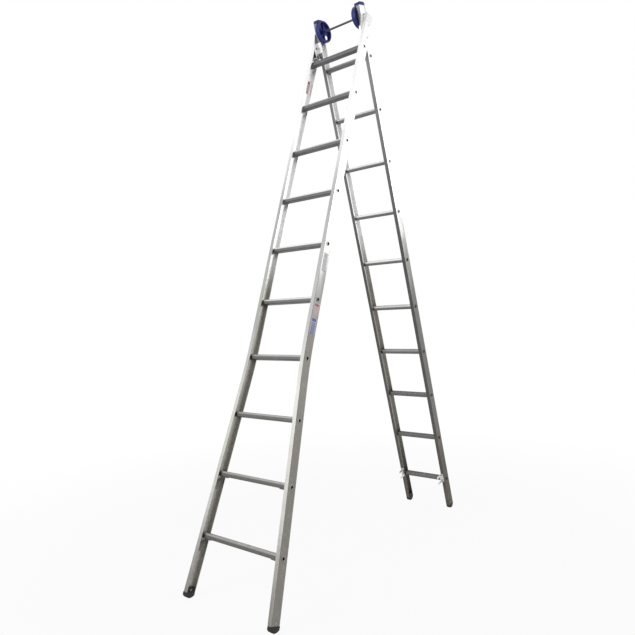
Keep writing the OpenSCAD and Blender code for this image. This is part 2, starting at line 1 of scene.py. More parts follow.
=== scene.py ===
"""Dresses the two-section ladder around its fixed frame.

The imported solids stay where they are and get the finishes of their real
materials. Feet, rivets, bolts, rolled rung ends and labels are worked out here
as surfaces. Lengths are in metres. A section's own frame has X across the
ladder, Y towards the section's back and Z up its stiles, with the origin at
its top rung.
"""
import json
import math

import bmesh
import bpy
import numpy as np
from bpy.props import FloatProperty, FloatVectorProperty, IntProperty, PointerProperty
from mathutils import Matrix, Vector


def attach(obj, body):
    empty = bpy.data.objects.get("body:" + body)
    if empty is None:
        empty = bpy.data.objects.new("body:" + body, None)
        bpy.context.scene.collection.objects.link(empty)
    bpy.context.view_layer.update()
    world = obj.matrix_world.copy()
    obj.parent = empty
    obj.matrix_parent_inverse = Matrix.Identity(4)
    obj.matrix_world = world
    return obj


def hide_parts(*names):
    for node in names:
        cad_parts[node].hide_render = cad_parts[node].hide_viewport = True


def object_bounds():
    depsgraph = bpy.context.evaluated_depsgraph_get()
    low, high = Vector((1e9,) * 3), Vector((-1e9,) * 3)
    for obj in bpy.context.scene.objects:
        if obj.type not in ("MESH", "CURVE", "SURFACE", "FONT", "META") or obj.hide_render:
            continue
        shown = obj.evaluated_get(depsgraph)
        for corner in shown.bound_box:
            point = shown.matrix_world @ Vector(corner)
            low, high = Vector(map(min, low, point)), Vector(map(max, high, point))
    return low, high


bl_info = {
    "name": "Ladder Dresser",
    "version": (1, 0, 0),
    "blender": (4, 5, 0),
    "location": "View3D > Sidebar > Ladder",
    "description": "Finishes, fastenings, feet, labels and stage for a two-section ladder",
    "category": "Object",
}

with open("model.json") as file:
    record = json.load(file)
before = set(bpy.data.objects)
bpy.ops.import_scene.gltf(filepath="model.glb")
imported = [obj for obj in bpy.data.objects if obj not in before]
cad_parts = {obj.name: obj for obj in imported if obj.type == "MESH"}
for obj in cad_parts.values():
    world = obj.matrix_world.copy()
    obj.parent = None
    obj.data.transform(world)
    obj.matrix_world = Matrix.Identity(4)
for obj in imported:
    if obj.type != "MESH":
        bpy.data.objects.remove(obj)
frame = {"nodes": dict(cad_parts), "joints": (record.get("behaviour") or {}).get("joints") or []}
CAD_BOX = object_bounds()

# ---- the ladder's own measures, in metres and radians ----

JOINTS = {joint["name"]: joint for joint in frame["joints"]}
HINGE = np.array(JOINTS["fold"]["pos_m"])
SLIDE = JOINTS["extension"]["axis"]
FLY_LEAN = math.atan2(-SLIDE[1], SLIDE[2])
BASE_LEAN = math.radians(JOINTS["fold"]["range_deg"][1]) - FLY_LEAN

RUNGS = 10
RUNG_PITCH = 0.280
BASE_HALF = 0.1803          # outer face of a base stile's web above the flare
FLY_HALF = 0.155            # outer face of a fly stile's web
FLARE = math.radians(4.79)
BEND_AT = 1.691             # distance of the flare's bend below the top rung
BEND_R = 2.400
BASE_END = 2.768            # distance of a base stile's lower end below the top rung
FLY_END = 2.6943
FLANGE_W = 0.021
BEAD_H = 0.0006
WEB_IN = 0.0024             # depth of the web's inner face behind its beads
FLANGE_IN = 0.0232          # distance of a flange's inner face from the middle
EDGE_W = 0.003
LIP_R = 0.0114              # radius of a rung's rolled end
BORE_R = 0.0074             # radius of the hole in a rung's end
BASE_PIVOT = np.array([0.0, 0.014, 0.0624])
FLY_PIVOT = np.array([0.0, -0.041, 0.0807])
SOLE_R = 0.034
SOLE_D = 0.051
SOLE_H = 0.026
SOLE_LAP = 0.0005
FLY_SOLE_R = 0.026
PLUG_H = 0.018
PLUG_RIB = 0.0012           # depth of the rings round a plug
PLUG_PITCH = 0.009          # distance between those rings
PLUG_LAP = 0.001            # how far a plug reaches down into its shoe
SHOE_GAP = 0.0001           # how far a shoe's top stays below the stile's end
SET_H = 0.0016              # height of a rivet's set end
HEAD_EDGE = 0.0004          # height of a rivet head's straight edge
BOLT_R = 0.004
BOLT_CROWN = 0.0036         # height of a pivot bolt's head
BOLT_EDGE = 0.0003          # height of the head's straight edge
THREAD_L = 0.016            # length of a pivot bolt's thread
NUT_EDGE = 0.0005           # height of the chamfer at a nut's bore and of its face's bevel
NUT_FLARE = 0.0004          # how much wider the bore is at a nut's faces
NUT_CORNER = 0.0012         # height over which a nut's corners are cut back
NUT_CUT = 0.0011            # how fast the cone that cuts them widens
LABEL_GAP = 0.00005         # how far a label stands off its web
LABEL_LIFT = 0.0006         # how far a label's loose corner lifts
LIP_T = 0.0003              # how far a rolled end reaches over its own radius
NUT_BORE = 0.00405          # radius of the pivot nuts' bore
RIVET_REACH = 0.024         # points of one rivet lie this close together
PIVOT_REACH = 0.08          # points of one pivot bolt or nut lie this close together
SECTION = 2.8               # length that the finishes are spread over, from the top rung down
# Painted highlight: where a rung's upper part starts to be painted bright.
TREAD_HIGHLIGHT_AT = (0.001, 0.006)   # heights over a rung's middle between which its bright upper part begins
CORNER_AT = 0.0212          # distance from a web's middle at which its dark corner line starts
# Painted shade: where a rung is painted darker under its middle.
RUNG_SHADE_AT = (-0.009, -0.0122)   # heights under a rung's middle between which its dark line darkens
DUST_SPAN = {"Bottom": -2.75, "Top": -1.8}      # heights from the top rung over which dust thins out
GRAIN_H = 0.00006           # height of the drawn grain and of the plastic's skin
SCRATCH_H = -0.00008        # depth of the scratches
FLOOR_DROP = 0.0002         # how far the floor lies under the feet
SHADE_SPAN = (1.2, 3.2)     # distances from the ladder over which its shadow on the floor fades
MERGE = 1e-6                # points closer than this are one point

bend_from = BEND_AT - BEND_R * math.tan(FLARE / 2)
bend_to = bend_from + BEND_R * math.sin(FLARE)


def web_slope(s):
    """Angle of a base stile's web at a distance s below the top rung: none, then an arc's, then the flare."""
    return math.asin(min(max((s - bend_from) / BEND_R, 0.0), math.sin(FLARE)))


def web_x(s):
    """Where a base stile's web stands at s: straight, then round the bend's circle, then along the flare."""
    run = max(s - bend_to, 0.0) * math.tan(FLARE)
    return BASE_HALF + BEND_R * (1 - math.cos(web_slope(s))) + run


# ---- plain colours, and those that wear and weather leave ----

WHITE = (1.0, 1.0, 1.0, 1.0)
BLACK = (0.0, 0.0, 0.0, 1.0)
FLOOR_PALE = (0.86, 0.86, 0.86, 1.0)
WORN_MILL = (0.86, 0.86, 0.85)
WORN_STEEL = (0.88, 0.88, 0.87)
STAIN = (0.42, 0.38, 0.30)
DUST = (0.30, 0.265, 0.21)
BLUE_SCRATCH = (0.30, 0.33, 0.52)
SCUFF = (0.14, 0.125, 0.105)


# ---- placing ----

def leaned(points, lean, pivot):
    """Section points in the row frame: turned by lean about X round pivot, which goes on the hinge's axis."""
    p = np.asarray(points, float) - pivot
    c, s = math.cos(lean), math.sin(lean)
    y = c * p[..., 1] - s * p[..., 2]
    z = s * p[..., 1] + c * p[..., 2]
    return np.stack([p[..., 0], y, z], axis=-1) + HINGE


def on_base(points):
    """Points of the base section's frame in the row frame."""
    return leaned(points, -BASE_LEAN, BASE_PIVOT)


def on_fly(points):
    """Points of the fly section's frame in the row frame."""
    return leaned(points, FLY_LEAN, FLY_PIVOT)


def on_web(points, s):
    """Points drawn with X out of the base stile's web and Z up it, put at a distance s below the top rung."""
    p = np.asarray(points, float)
    c, k = math.cos(web_slope(s)), math.sin(web_slope(s))
    x = web_x(s) + c * p[..., 0] - k * p[..., 2]
    z = -s + k * p[..., 0] + c * p[..., 2]
    return np.stack([x, p[..., 1], z], axis=-1)


def mirrored(points, side):
    """Points with X turned round where side is -1."""
    return np.asarray(points) * [side, 1, 1]


# ---- surfaces ----

def quads(rows, cols, ring):
    """Corner numbers of the quads of a grid, whose last column joins the first where ring is true."""
    i, j = np.meshgrid(np.arange(rows - 1), np.arange(cols if ring else cols - 1), indexing="ij")
    k = (j + 1) % cols
    corners = [i * cols + j, (i + 1) * cols + j, (i + 1) * cols + k, i * cols + k]
    return np.stack(corners, axis=-1).reshape(-1, 4)


def piece(name, grids, material, body, ring=True, smooth=40.0, uv=None):
    """One object from grids of points (rows, columns, 3). Points in one place are merged, so that
    poles, seams and end caps are closed, and the faces are turned outwards."""
    points, faces, start = [], [], 0
    for grid in grids:
        rows, cols = grid.shape[:2]
        points.append(grid.reshape(-1, 3))
        faces.append(quads(rows, cols, ring) + start)
        start += rows * cols
    mesh = bpy.data.meshes.new(name)
    mesh.from_pydata(np.concatenate(points), [], np.concatenate(faces))
    if uv is not None:
        layer = mesh.uv_layers.new(name="face")
        corners = np.zeros(len(mesh.loops), np.int32)
        mesh.loops.foreach_get("vertex_index", corners)
        layer.data.foreach_set("uv", uv.reshape(-1, 2)[corners].astype(np.float32).ravel())
    work = bmesh.new()
    work.from_mesh(mesh)
    bmesh.ops.remove_doubles(work, verts=work.verts, dist=MERGE)
    bmesh.ops.dissolve_degenerate(work, dist=MERGE, edges=work.edges)
    bmesh.ops.recalc_face_normals(work, faces=work.faces)
    work.to_mesh(mesh)
    work.free()
    mesh.shade_smooth()
    mesh.set_sharp_from_angle(angle=math.radians(smooth))
    mesh.materials.append(material)
    obj = bpy.data.objects.new(name, mesh)
    bpy.context.scene.collection.objects.link(obj)
    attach(obj, body)
    return obj


def full_turn(steps):
    """The angles of one turn, in even steps."""
    return np.linspace(0, 2 * np.pi, steps, endpoint=False)


def around(x, r, steps):
    """Points round X: (x, r cos a, r sin a) for a full turn of a. r may change with a too."""
    a = full_turn(steps)
    return np.stack([np.repeat(x[:, None], steps, axis=1), r * np.cos(a), r * np.sin(a)], axis=-1)


def turned(profile, steps):
    """A turned shape round X from a profile of points (x, r)."""
    profile = np.asarray(profile, float)
    return around(profile[:, 0], profile[:, 1:], steps)


def aimed(points, centre, axis):
    """Points drawn round X, turned so that X runs along axis, and put at centre."""
    turn = np.array(Vector((1, 0, 0)).rotation_difference(Vector(axis)).to_matrix())
    return points @ turn.T + centre


def corners_of(node):
    """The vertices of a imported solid, in the row frame."""
    data = frame["nodes"][node].data
    co = np.zeros(len(data.vertices) * 3, np.float32)
    data.vertices.foreach_get("co", co)
    return np.unique(np.round(co.reshape(-1, 3).astype(float), 6), axis=0)


def clusters(points, reach):
    """Groups of points that lie within reach of each other."""
    groups = []
    left = points
    while len(left):
        near = np.linalg.norm(left - left[0], axis=1) < reach
        groups.append(left[near])
        left = left[~near]
    return groups


def fastening(points):
    """Where a turned fastening lies: its middle, its axis towards the thicker end, its half length
    and its radius. The axis is the direction whose spread differs most from the other two."""
    mean = (points.min(axis=0) + points.max(axis=0)) / 2
    spread, ways = np.linalg.eigh(np.cov((points - points.mean(axis=0)).T))
    odd = 0 if spread[1] - spread[0] > spread[2] - spread[1] else 2
    axis = ways[:, odd]
    along = (points - mean) @ axis
    away = np.linalg.norm(points - mean - np.outer(along, axis), axis=1)
    if along[away > 0.95 * away.max()].mean() < 0:
        axis = -axis
    return mean, axis, np.ptp(along) / 2, away.max()


# ---- shader trees ----

def feed(tree, target, value):
    """Joins a socket to the target, or sets the target to a value."""
    if isinstance(value, bpy.types.NodeSocket):
        tree.links.new(value, target)
    else:
        target.default_value = value


def add(tree, kind, ins=None, **props):
    """One node of that kind, its properties set and its inputs given a value or joined to a socket."""
    node = tree.nodes.new(kind)
    for key, value in props.items():
        setattr(node, key, value)
    for key, value in (ins or {}).items():
        feed(tree, node.inputs[key], value)
    return node


def noise(tree, vector, scale, detail, **others):
    """The value of a noise texture; others are more of its inputs."""
    ins = {"Vector": vector, "Scale": scale, "Detail": detail}
    ins.update({key.replace("_", " ").title(): value for key, value in others.items()})
    return add(tree, "ShaderNodeTexNoise", ins).outputs["Fac"]


def times(tree, a, b, clamp=False):
    """The product of two values."""
    return maths(tree, "MULTIPLY", a, b, clamp)


def vector_maths(tree, operation, a, b=(0.0, 0.0, 0.0)):
    """The vector that one Vector Math node gives."""
    return add(tree, "ShaderNodeVectorMath", {0: a, 1: b}, operation=operation).outputs[0]


def object_place(tree):
    """Object coordinates, in metres."""
    return add(tree, "ShaderNodeTexCoord").outputs["Object"]


def rotated(tree, vector, angle, axis="X_AXIS"):
    """A vector turned about one axis."""
    ins = {"Vector": vector, "Angle": angle}
    return add(tree, "ShaderNodeVectorRotate", ins, rotation_type=axis).outputs[0]


def axes_of(tree, vector):
    """The three parts of a vector, by their letters."""
    return add(tree, "ShaderNodeSeparateXYZ", {0: vector}).outputs


def maths(tree, operation, a, b=0.0, clamp=False):
    """The output of one Math node."""
    return add(tree, "ShaderNodeMath", {0: a, 1: b}, operation=operation, use_clamp=clamp).outputs[0]


def ramp(tree, value, low, high, to_low=0.0, to_high=1.0):
    """value, taken from the span low to high to the span to_low to to_high, and held at its ends."""
    ins = {"Value": value, "From Min": low, "From Max": high, "To Min": to_low, "To Max": to_high}
    return add(tree, "ShaderNodeMapRange", ins, clamp=True).outputs["Result"]


def blend(tree, factor, a, b):
    """The colour that goes from a to b with factor. A colour is a socket or three numbers."""
    node = add(tree, "ShaderNodeMix", data_type="RGBA", blend_type="MIX")
    for socket, value in (("Factor_Float", factor), ("A_Color", a), ("B_Color", b)):
        if hasattr(value, "__len__"):
            value = (*value, 1.0)
        feed(tree, next(s for s in node.inputs if s.identifier == socket), value)
    return next(s for s in node.outputs if s.identifier == "Result_Color")


def group(name, inputs, outputs, build):
    """A shader node group made once. inputs and outputs are (name, socket type) or (name, type, default)."""
    made = bpy.data.node_groups.get(name)
    if made:
        return made
    tree = bpy.data.node_groups.new(name, "ShaderNodeTree")
    for way, sockets in (("INPUT", inputs), ("OUTPUT", outputs)):
        for label, kind, *default in sockets:
            socket = tree.interface.new_socket(name=label, in_out=way, socket_type="NodeSocket" + kind)
            if default:
                socket.default_value = default[0]
    source = tree.nodes.new("NodeGroupInput")
    sink = tree.nodes.new("NodeGroupOutput")
    for label, socket in build(tree, source.outputs).items():
        tree.links.new(socket, sink.inputs[label])
    return tree


def use(tree, made, ins):
    """Places a node group in a tree and returns its outputs."""
    node = tree.nodes.new("ShaderNodeGroup")
    node.node_tree = made
    for key, value in ins.items():
        feed(tree, node.inputs[key], value)
    return node.outputs


def drawn_grain():
    """Long fine lines along Z, as a die leaves them, with a slow cloudiness between them."""
    def build(tree, ins):
        fine = vector_maths(tree, "MULTIPLY", ins["Vector"], (1.0, 1.0, 0.012))
        slow = vector_maths(tree, "MULTIPLY", ins["Vector"], (1.0, 1.0, 0.25))
        return {"Lines": noise(tree, fine, ins["Fineness"], 3.0), "Cloud": noise(tree, slow, 22.0, 4.0)}
    return group("drawn grain", [("Vector", "Vector"), ("Fineness", "Float", 900.0)],
                 [("Lines", "Float"), ("Cloud", "Float")], build)


def edge_rub():
    """Where the surface turns a corner: how far a softened normal leans away from the true one, broken up."""
    def build(tree, ins):
        soft = add(tree, "ShaderNodeBevel", {"Radius": ins["Radius"]}, samples=4)
        true = add(tree, "ShaderNodeNewGeometry")
        both = add(tree, "ShaderNodeVectorMath", {0: soft.outputs[0], 1: true.outputs["Normal"]},
                   operation="DOT_PRODUCT")
        lean = ramp(tree, both.outputs["Value"], 0.985, 0.80)
        broken = noise(tree, ins["Vector"], 160.0, 3.0)
        return {"Mask": times(tree, lean, ramp(tree, broken, 0.35, 0.6, 0.25, 1.0))}
    return group("edge rub", [("Vector", "Vector"), ("Radius", "Float", 0.0008)], [("Mask", "Float")], build)


def site_dust():
    """Dust and dried splashes: most near the lower end, thinning out upwards, in patches."""
    def build(tree, ins):
        height = ramp(tree, axes_of(tree, ins["Vector"])["Z"], ins["Top"], ins["Bottom"])
        patches = ramp(tree, noise(tree, ins["Vector"], 38.0, 6.0, roughness=0.65), 0.42, 0.72)
        flecks = ramp(tree, noise(tree, ins["Vector"], 420.0, 2.0), 0.64, 0.72)
        both = maths(tree, "ADD", times(tree, patches, 0.7), times(tree, flecks, 0.5))
        return {"Mask": times(tree, both, height, clamp=True)}
    return group("site dust", [("Vector", "Vector"), ("Bottom", "Float", 0.0), ("Top", "Float", 1.0)],
                 [("Mask", "Float")], build)


def scratches():
    """Short straight scratches in two directions: thin bands of stretched noise, cut off by a coarser one."""
    def build(tree, ins):
        masks = []
        for turn in (0.5, -0.9):
            thin = vector_maths(tree, "MULTIPLY", rotated(tree, ins["Vector"], turn), (1.0, 1.0, 0.03))
            masks.append(ramp(tree, noise(tree, thin, 700.0, 0.0), 0.735, 0.765))
        where = ramp(tree, noise(tree, ins["Vector"], 30.0, 1.0), 0.5, 0.6)
        return {"Mask": times(tree, maths(tree, "MAXIMUM", *masks), where)}
    return group("scratches", [("Vector", "Vector")], [("Mask", "Float")], build)


def empty_tree(owner):
    """The node tree of a material or of the world, with nothing in it."""
    owner.use_nodes = True
    owner.node_tree.nodes.clear()
    return owner.node_tree


def new_material(name, slot_color):
    """A node material with nothing but its Principled shader."""
    material = bpy.data.materials.new(name)
    material.diffuse_color = (*slot_color[:3], 1.0)
    tree = empty_tree(material)
    shader = add(tree, "ShaderNodeBsdfPrincipled")
    add(tree, "ShaderNodeOutputMaterial", {"Surface": shader.outputs[0]})
    return material, tree, shader


def seen_ray(tree):
    """1 for rays from the camera and for those that a gloss or a clear piece sends on."""
    ray = add(tree, "ShaderNodeLightPath").outputs
    sent_on = maths(tree, "MAXIMUM", ray["Is Glossy Ray"], ray["Is Transmission Ray"])
    return maths(tree, "MAXIMUM", ray["Is Camera Ray"], sent_on)


def wire(tree, shader, **sockets):
    """Joins or sets the shader's sockets; a name's underscores stand for spaces."""
    for key, value in sockets.items():
        feed(tree, shader.inputs[key.replace("_", " ").title().replace("Ior", "IOR")], value)


def bump(tree, height, distance, strength=1.0, normal=None):
    """The normal that a height in metres leaves."""
    ins = {"Height": height, "Distance": distance, "Strength": strength}
    if normal is not None:
        ins["Normal"] = normal
    return add(tree, "ShaderNodeBump", ins).outputs[0]


def section_place(tree, lean, pivot):
    """Object coordinates in the section's frame: Z up the stiles from the top rung, Y across their webs."""
    moved = vector_maths(tree, "SUBTRACT", object_place(tree), tuple(HINGE))
    return vector_maths(tree, "ADD", rotated(tree, moved, -lean), tuple(pivot))


def tones_down(tree, depth, stops):
    """The colour at a depth below the top rung, drawn between stops of (distance, colour)."""
    node = add(tree, "ShaderNodeValToRGB", {0: maths(tree, "DIVIDE", depth, SECTION)})
    marks = node.color_ramp.elements
    marks.remove(marks[1])
    marks[0].position = stops[0][0] / SECTION
    marks[0].color = (*stops[0][1], 1.0)
    for distance, color in stops[1:]:
        marks.new(distance / SECTION).color = (*color, 1.0)
    return node.outputs["Color"]


def mill_metal(name, look, lean, pivot, along, faces, webs=None, lit_insides=None, tread_highlights=None):
    """Mill-finish aluminium in the tones of its stops, with die lines along one axis. The stops paint light
    and shade into the colour, lighter or darker by depth below the top rung. On a stile the outer webs and
    the inner faces get stops of their own, painted by which way a face looks, and a dark line runs along the
    webs' edges lower down. On rungs the stops are painted shade, with a painted highlight on their upper
    parts and painted shade under their middle."""
    material, tree, shader = new_material(name, faces[0][1])
    place = section_place(tree, lean, pivot)
    grain_at = rotated(tree, place, math.pi / 2, "Y_AXIS") if along == "X" else place
    grain = use(tree, drawn_grain(), {"Vector": grain_at, "Fineness": look.grain})
    parts = axes_of(tree, place)
    drift = times(tree, maths(tree, "SUBTRACT", grain["Cloud"], 0.5), 0.35)
    depth = maths(tree, "SUBTRACT", drift, parts["Z"])
    # Painted light and shade: the tone goes lighter or darker with depth below the top rung.
    tone = tones_down(tree, depth, faces)
    # Which way each face looks; on a stile the stops below paint light and shade by it.
    facing = axes_of(tree, rotated(tree, add(tree, "ShaderNodeTexCoord").outputs["Normal"], -lean))
    if webs:
        side = ramp(tree, maths(tree, "ABSOLUTE", facing["X"]), 0.55, 0.85)
        lit_inner_web = ramp(tree, times(tree, facing["X"], parts["X"]), -0.05, -0.1)
        # Painted light: inner faces of webs and flanges get brighter stops.
        inner = tones_down(tree, depth, lit_insides)
        lit_inner_flange = ramp(tree, times(tree, facing["Y"], parts["Y"]), -0.008, -0.014)
        tone = blend(tree, lit_inner_flange, tone, inner)
        tone = blend(tree, side, tone, blend(tree, lit_inner_web, tones_down(tree, depth, webs), inner))
        # A dark line along the webs' edges, stronger lower down.
        across = ramp(tree, maths(tree, "ABSOLUTE", parts["Y"]), CORNER_AT, CORNER_AT + 0.003)
        lower = ramp(tree, depth, 0.7, 1.5, 0.15, 1.0)
        line = times(tree, times(tree, across, side), lower)
    else:
        # On rungs: a painted highlight on the upper part above the middle, and painted shade under the
        # middle.
        lap = maths(tree, "FLOORED_MODULO", maths(tree, "ADD", parts["Z"], RUNG_PITCH / 2), RUNG_PITCH)
        rise = maths(tree, "SUBTRACT", lap, RUNG_PITCH / 2)
        tone = blend(tree, ramp(tree, rise, *TREAD_HIGHLIGHT_AT), tone, tones_down(tree, depth, tread_highlights))
        line = ramp(tree, rise, *RUNG_SHADE_AT, 0.0, 0.8)
    # Darkens the dark line: painted shade under a rung's middle, and on a stile the line along its webs'
    # edges.
    tone = blend(tree, times(tree, line, look.dark_line_share), tone, look.dark_oxide_and_shade)
    tone = blend(tree, ramp(tree, grain["Lines"], 0.35, 0.7, 0.0, 0.16), tone, look.dark_oxide_and_shade)
    rub = use(tree, edge_rub(), {"Vector": place})["Mask"]
    marks = use(tree, scratches(), {"Vector": place})["Mask"]
    worn = blend(tree, 0.5, tone, WORN_MILL)
    bright = times(tree, maths(tree, "MAXIMUM", rub, marks), look.wear, clamp=True)
    tone = blend(tree, bright, tone, worn)
    dust = use(tree, site_dust(), {"Vector": place, **DUST_SPAN})["Mask"]
    tone = blend(tree, times(tree, dust, look.dust), tone, DUST)
    rough = ramp(tree, grain["Cloud"], 0.3, 0.7, 0.34, 0.50)
    rough = maths(tree, "ADD", rough, times(tree, dust, 0.3), clamp=True)
    normal = bump(tree, marks, SCRATCH_H, 0.6, bump(tree, grain["Lines"], GRAIN_H, 0.5))
    metal = maths(tree, "SUBTRACT", 0.92, times(tree, dust, 0.6))
    wire(tree, shader, base_color=tone, roughness=rough, metallic=metal, normal=normal)
    return material


def plated_steel(name, look, color, rough=(0.28, 0.46), spots=0.5):
    """Zinc-plated or dull steel: fine crystalline mottling, stamped faces, rubbed corners."""
    material, tree, shader = new_material(name, color)
    place = object_place(tree)
    cell = add(tree, "ShaderNodeTexVoronoi", {"Vector": place, "Scale": 420.0, "Randomness": 1.0})
    mottle = noise(tree, place, 120.0, 5.0)
    dark = tuple(c * 0.62 for c in color)
    tone = blend(tree, ramp(tree, cell.outputs["Color"], 0.2, 0.9, 0.0, spots), color, dark)
    tone = blend(tree, ramp(tree, mottle, 0.55, 0.75, 0.0, 0.35), tone, STAIN)
    rub = use(tree, edge_rub(), {"Vector": place, "Radius": 0.0006})["Mask"]
    tone = blend(tree, times(tree, rub, look.wear), tone, WORN_STEEL)
    finish = ramp(tree, mottle, 0.3, 0.7, *rough)
    normal = bump(tree, mottle, 0.00008, 0.4)
    wire(tree, shader, base_color=tone, roughness=finish, metallic=0.95, normal=normal)
    return material


def moulded_plastic(name, look):
    """Blue moulded plastic: fine spark-eroded grain, flow streaks, and corners that have gone pale."""
    material, tree, shader = new_material(name, look.head_blue)
    place = object_place(tree)
    flow = noise(tree, place, 30.0, 3.0, distortion=1.6)
    deep = tuple(c * 0.72 for c in look.head_blue)
    tone = blend(tree, ramp(tree, flow, 0.35, 0.7), look.head_blue, deep)
    rub = use(tree, edge_rub(), {"Vector": place, "Radius": 0.0012})["Mask"]
    worn = tuple(min(c * 2.0 + 0.05, 1.0) for c in look.head_blue)
    tone = blend(tree, times(tree, rub, look.wear), tone, worn)
    marks = use(tree, scratches(), {"Vector": place})["Mask"]
    tone = blend(tree, times(tree, marks, 0.5), tone, BLUE_SCRATCH)
    rough = ramp(tree, flow, 0.3, 0.7, 0.34, 0.48)
    skin = bump(tree, noise(tree, place, 1500.0, 2.0), GRAIN_H, 0.5)
    normal = bump(tree, marks, SCRATCH_H, 0.6, skin)
    wire(tree, shader, base_color=tone, roughness=rough, normal=normal, specular_ior_level=0.3)
    return material


def sole_rubber(name, look):
    """Moulded black rubber: pebbled skin, greyed and dusty where it has been walked on."""
    material, tree, shader = new_material(name, look.rubber)
    place = object_place(tree)
    pebble = add(tree, "ShaderNodeTexVoronoi", {"Vector": place, "Scale": 900.0})
    scuff = noise(tree, place, 70.0, 7.0, roughness=0.7)
    low = ramp(tree, axes_of(tree, place)["Z"], 0.030, 0.0)
    grey = times(tree, ramp(tree, scuff, 0.45, 0.7), maths(tree, "ADD", low, 0.25), clamp=True)
    tone = blend(tree, times(tree, grey, 0.55), look.rubber, SCUFF)
    rough = ramp(tree, scuff, 0.3, 0.7, 0.55, 0.78)
    normal = bump(tree, pebble.outputs["Distance"], 0.00012, 0.5)
    wire(tree, shader, base_color=tone, roughness=rough, normal=normal, specular_ior_level=0.35)
    return material


def window(tree, value, low, high):
    """1 where the value lies between low and high, with a thin soft edge."""
    return times(tree, ramp(tree, value, low, low + 0.001), ramp(tree, value, high, high - 0.001))


def label_print(name, field, band, blocks):
    """A printed label with no words: a field, a heading band, and rows of plain blocks, on its UV map."""
    material, tree, shader = new_material(name, field)
    uv = add(tree, "ShaderNodeUVMap", uv_map="face").outputs[0]
    parts = axes_of(tree, uv)
    rows = add(tree, "ShaderNodeTexBrick", {"Vector": uv, "Color1": WHITE, "Color2": WHITE, "Mortar": BLACK,
                                            "Scale": 4.0, "Mortar Size": 0.035, "Brick Width": 0.62,
                                            "Row Height": 0.42})
    inside = window(tree, parts["X"], 0.10, 0.90)
    lower = ramp(tree, parts["Y"], 0.70, 0.699)
    tone = blend(tree, times(tree, rows.outputs["Color"], times(tree, inside, lower)), field, blocks)
    head = window(tree, parts["Y"], 0.74, 0.95)
    tone = blend(tree, times(tree, head, inside), tone, band)
    wear = noise(tree, object_place(tree), 90.0, 6.0, roughness=0.7)
    faded = ramp(tree, wear, 0.50, 0.78, 0.0, 0.55)
    tone = blend(tree, faded, tone, field)
    rough = ramp(tree, wear, 0.3, 0.7, 0.30, 0.5)
    normal = bump(tree, wear, 0.0003, 0.3)
    wire(tree, shader, base_color=tone, roughness=rough, normal=normal, coat_weight=0.2)
    return material


def finish_for(key):
    """The ladder's finishes by name, each made the first time it is asked for."""
    found = bpy.data.materials.get(key)
    if found:
        return found
    look = bpy.context.scene.ladder_finish
    base = (-BASE_LEAN, BASE_PIVOT)
    fly = (FLY_LEAN, FLY_PIVOT)
    # Painted light and shade: these stops paint the aluminium lighter or darker by depth below the top rung
    # and by which way a stile's face looks, with brighter inner faces. The rung stops are painted shade, with
    # a painted highlight on the rungs' upper parts.
    base_faces = [(0.45, look.mill_top_highlight), (0.85, look.base_flange), (1.50, look.base_flange),
                  (1.85, look.base_flange_low), (2.35, look.base_flange_low), (2.75, look.base_end)]
    base_webs = [(1.00, look.mill_top_highlight), (1.28, look.base_web), (1.60, look.base_web_low)]
    base_lit_insides = [(1.05, look.mill_top_highlight), (1.32, look.base_inside_lit)]
    fly_faces = [(0.40, look.fly_flange), (1.05, look.fly_flange_low), (2.00, look.fly_flange_low),
                 (2.60, look.fly_end)]
    fly_webs = [(0.80, look.mill_top_highlight), (1.00, look.base_web), (1.30, look.fly_web_low),
                (2.10, look.fly_web_low), (2.60, look.fly_end)]
    fly_lit_insides = [(0.90, look.mill_top_highlight), (1.28, look.fly_inside_lit), (2.20, look.fly_inside_lit),
                   (2.65, look.fly_web_low)]
    base_rung_shade = [(0.0, look.rung_shade_upper), (2.6, look.rung_shade_lower)]
    base_tread_highlights = [(0.0, look.rung_shade_upper), (0.70, look.tread_highlight), (1.20, look.tread_highlight), (1.70, look.tread_highlight_dim)]
    fly_rung_shade = [(0.0, look.fly_rung_shade_upper), (2.0, look.fly_rung_shade_lower)]
    fly_tread_highlights = [(0.0, look.tread_highlight_dim), (0.60, look.tread_highlight), (1.20, look.tread_highlight), (1.80, look.fly_rung_shade_upper)]
    made = {
        "base_stile_mill": lambda n: mill_metal(n, look, *base, "Z", base_faces, base_webs, base_lit_insides),
        "fly_stile_mill": lambda n: mill_metal(n, look, *fly, "Z", fly_faces, fly_webs, fly_lit_insides),
        "base_rung_mill": lambda n: mill_metal(n, look, *base, "X", base_rung_shade, tread_highlights=base_tread_highlights),
        "fly_rung_mill": lambda n: mill_metal(n, look, *fly, "X", fly_rung_shade, tread_highlights=fly_tread_highlights),
        "rivet_bright": lambda n: plated_steel(n, look, look.rivet, (0.24, 0.4), 0.2),
        "zinc_plate": lambda n: plated_steel(n, look, look.zinc),
        "zinc_bright": lambda n: plated_steel(n, look, look.zinc_bright, (0.26, 0.42), 0.25),
        "brace_steel": lambda n: plated_steel(n, look, look.brace_steel, (0.35, 0.5), 0.4),
        "dull_steel": lambda n: plated_steel(n, look, look.dark_steel, (0.35, 0.5), 0.3),
        "head_plastic_blue": lambda n: moulded_plastic(n, look),
        "sole_rubber": lambda n: sole_rubber(n, look),
        "label_red": lambda n: label_print(n, look.label_field, look.label_red, look.label_pink),
        "label_blue": lambda n: label_print(n, look.label_field, look.label_blue, look.label_blue),
        "label_plain": lambda n: label_print(n, look.label_field, look.label_grey, look.label_grey),
    }
    return made[key](key)


def dress(node, key):
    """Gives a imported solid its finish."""
    obj = frame["nodes"][node]
    obj.data.materials[0] = finish_for(key)
    return obj


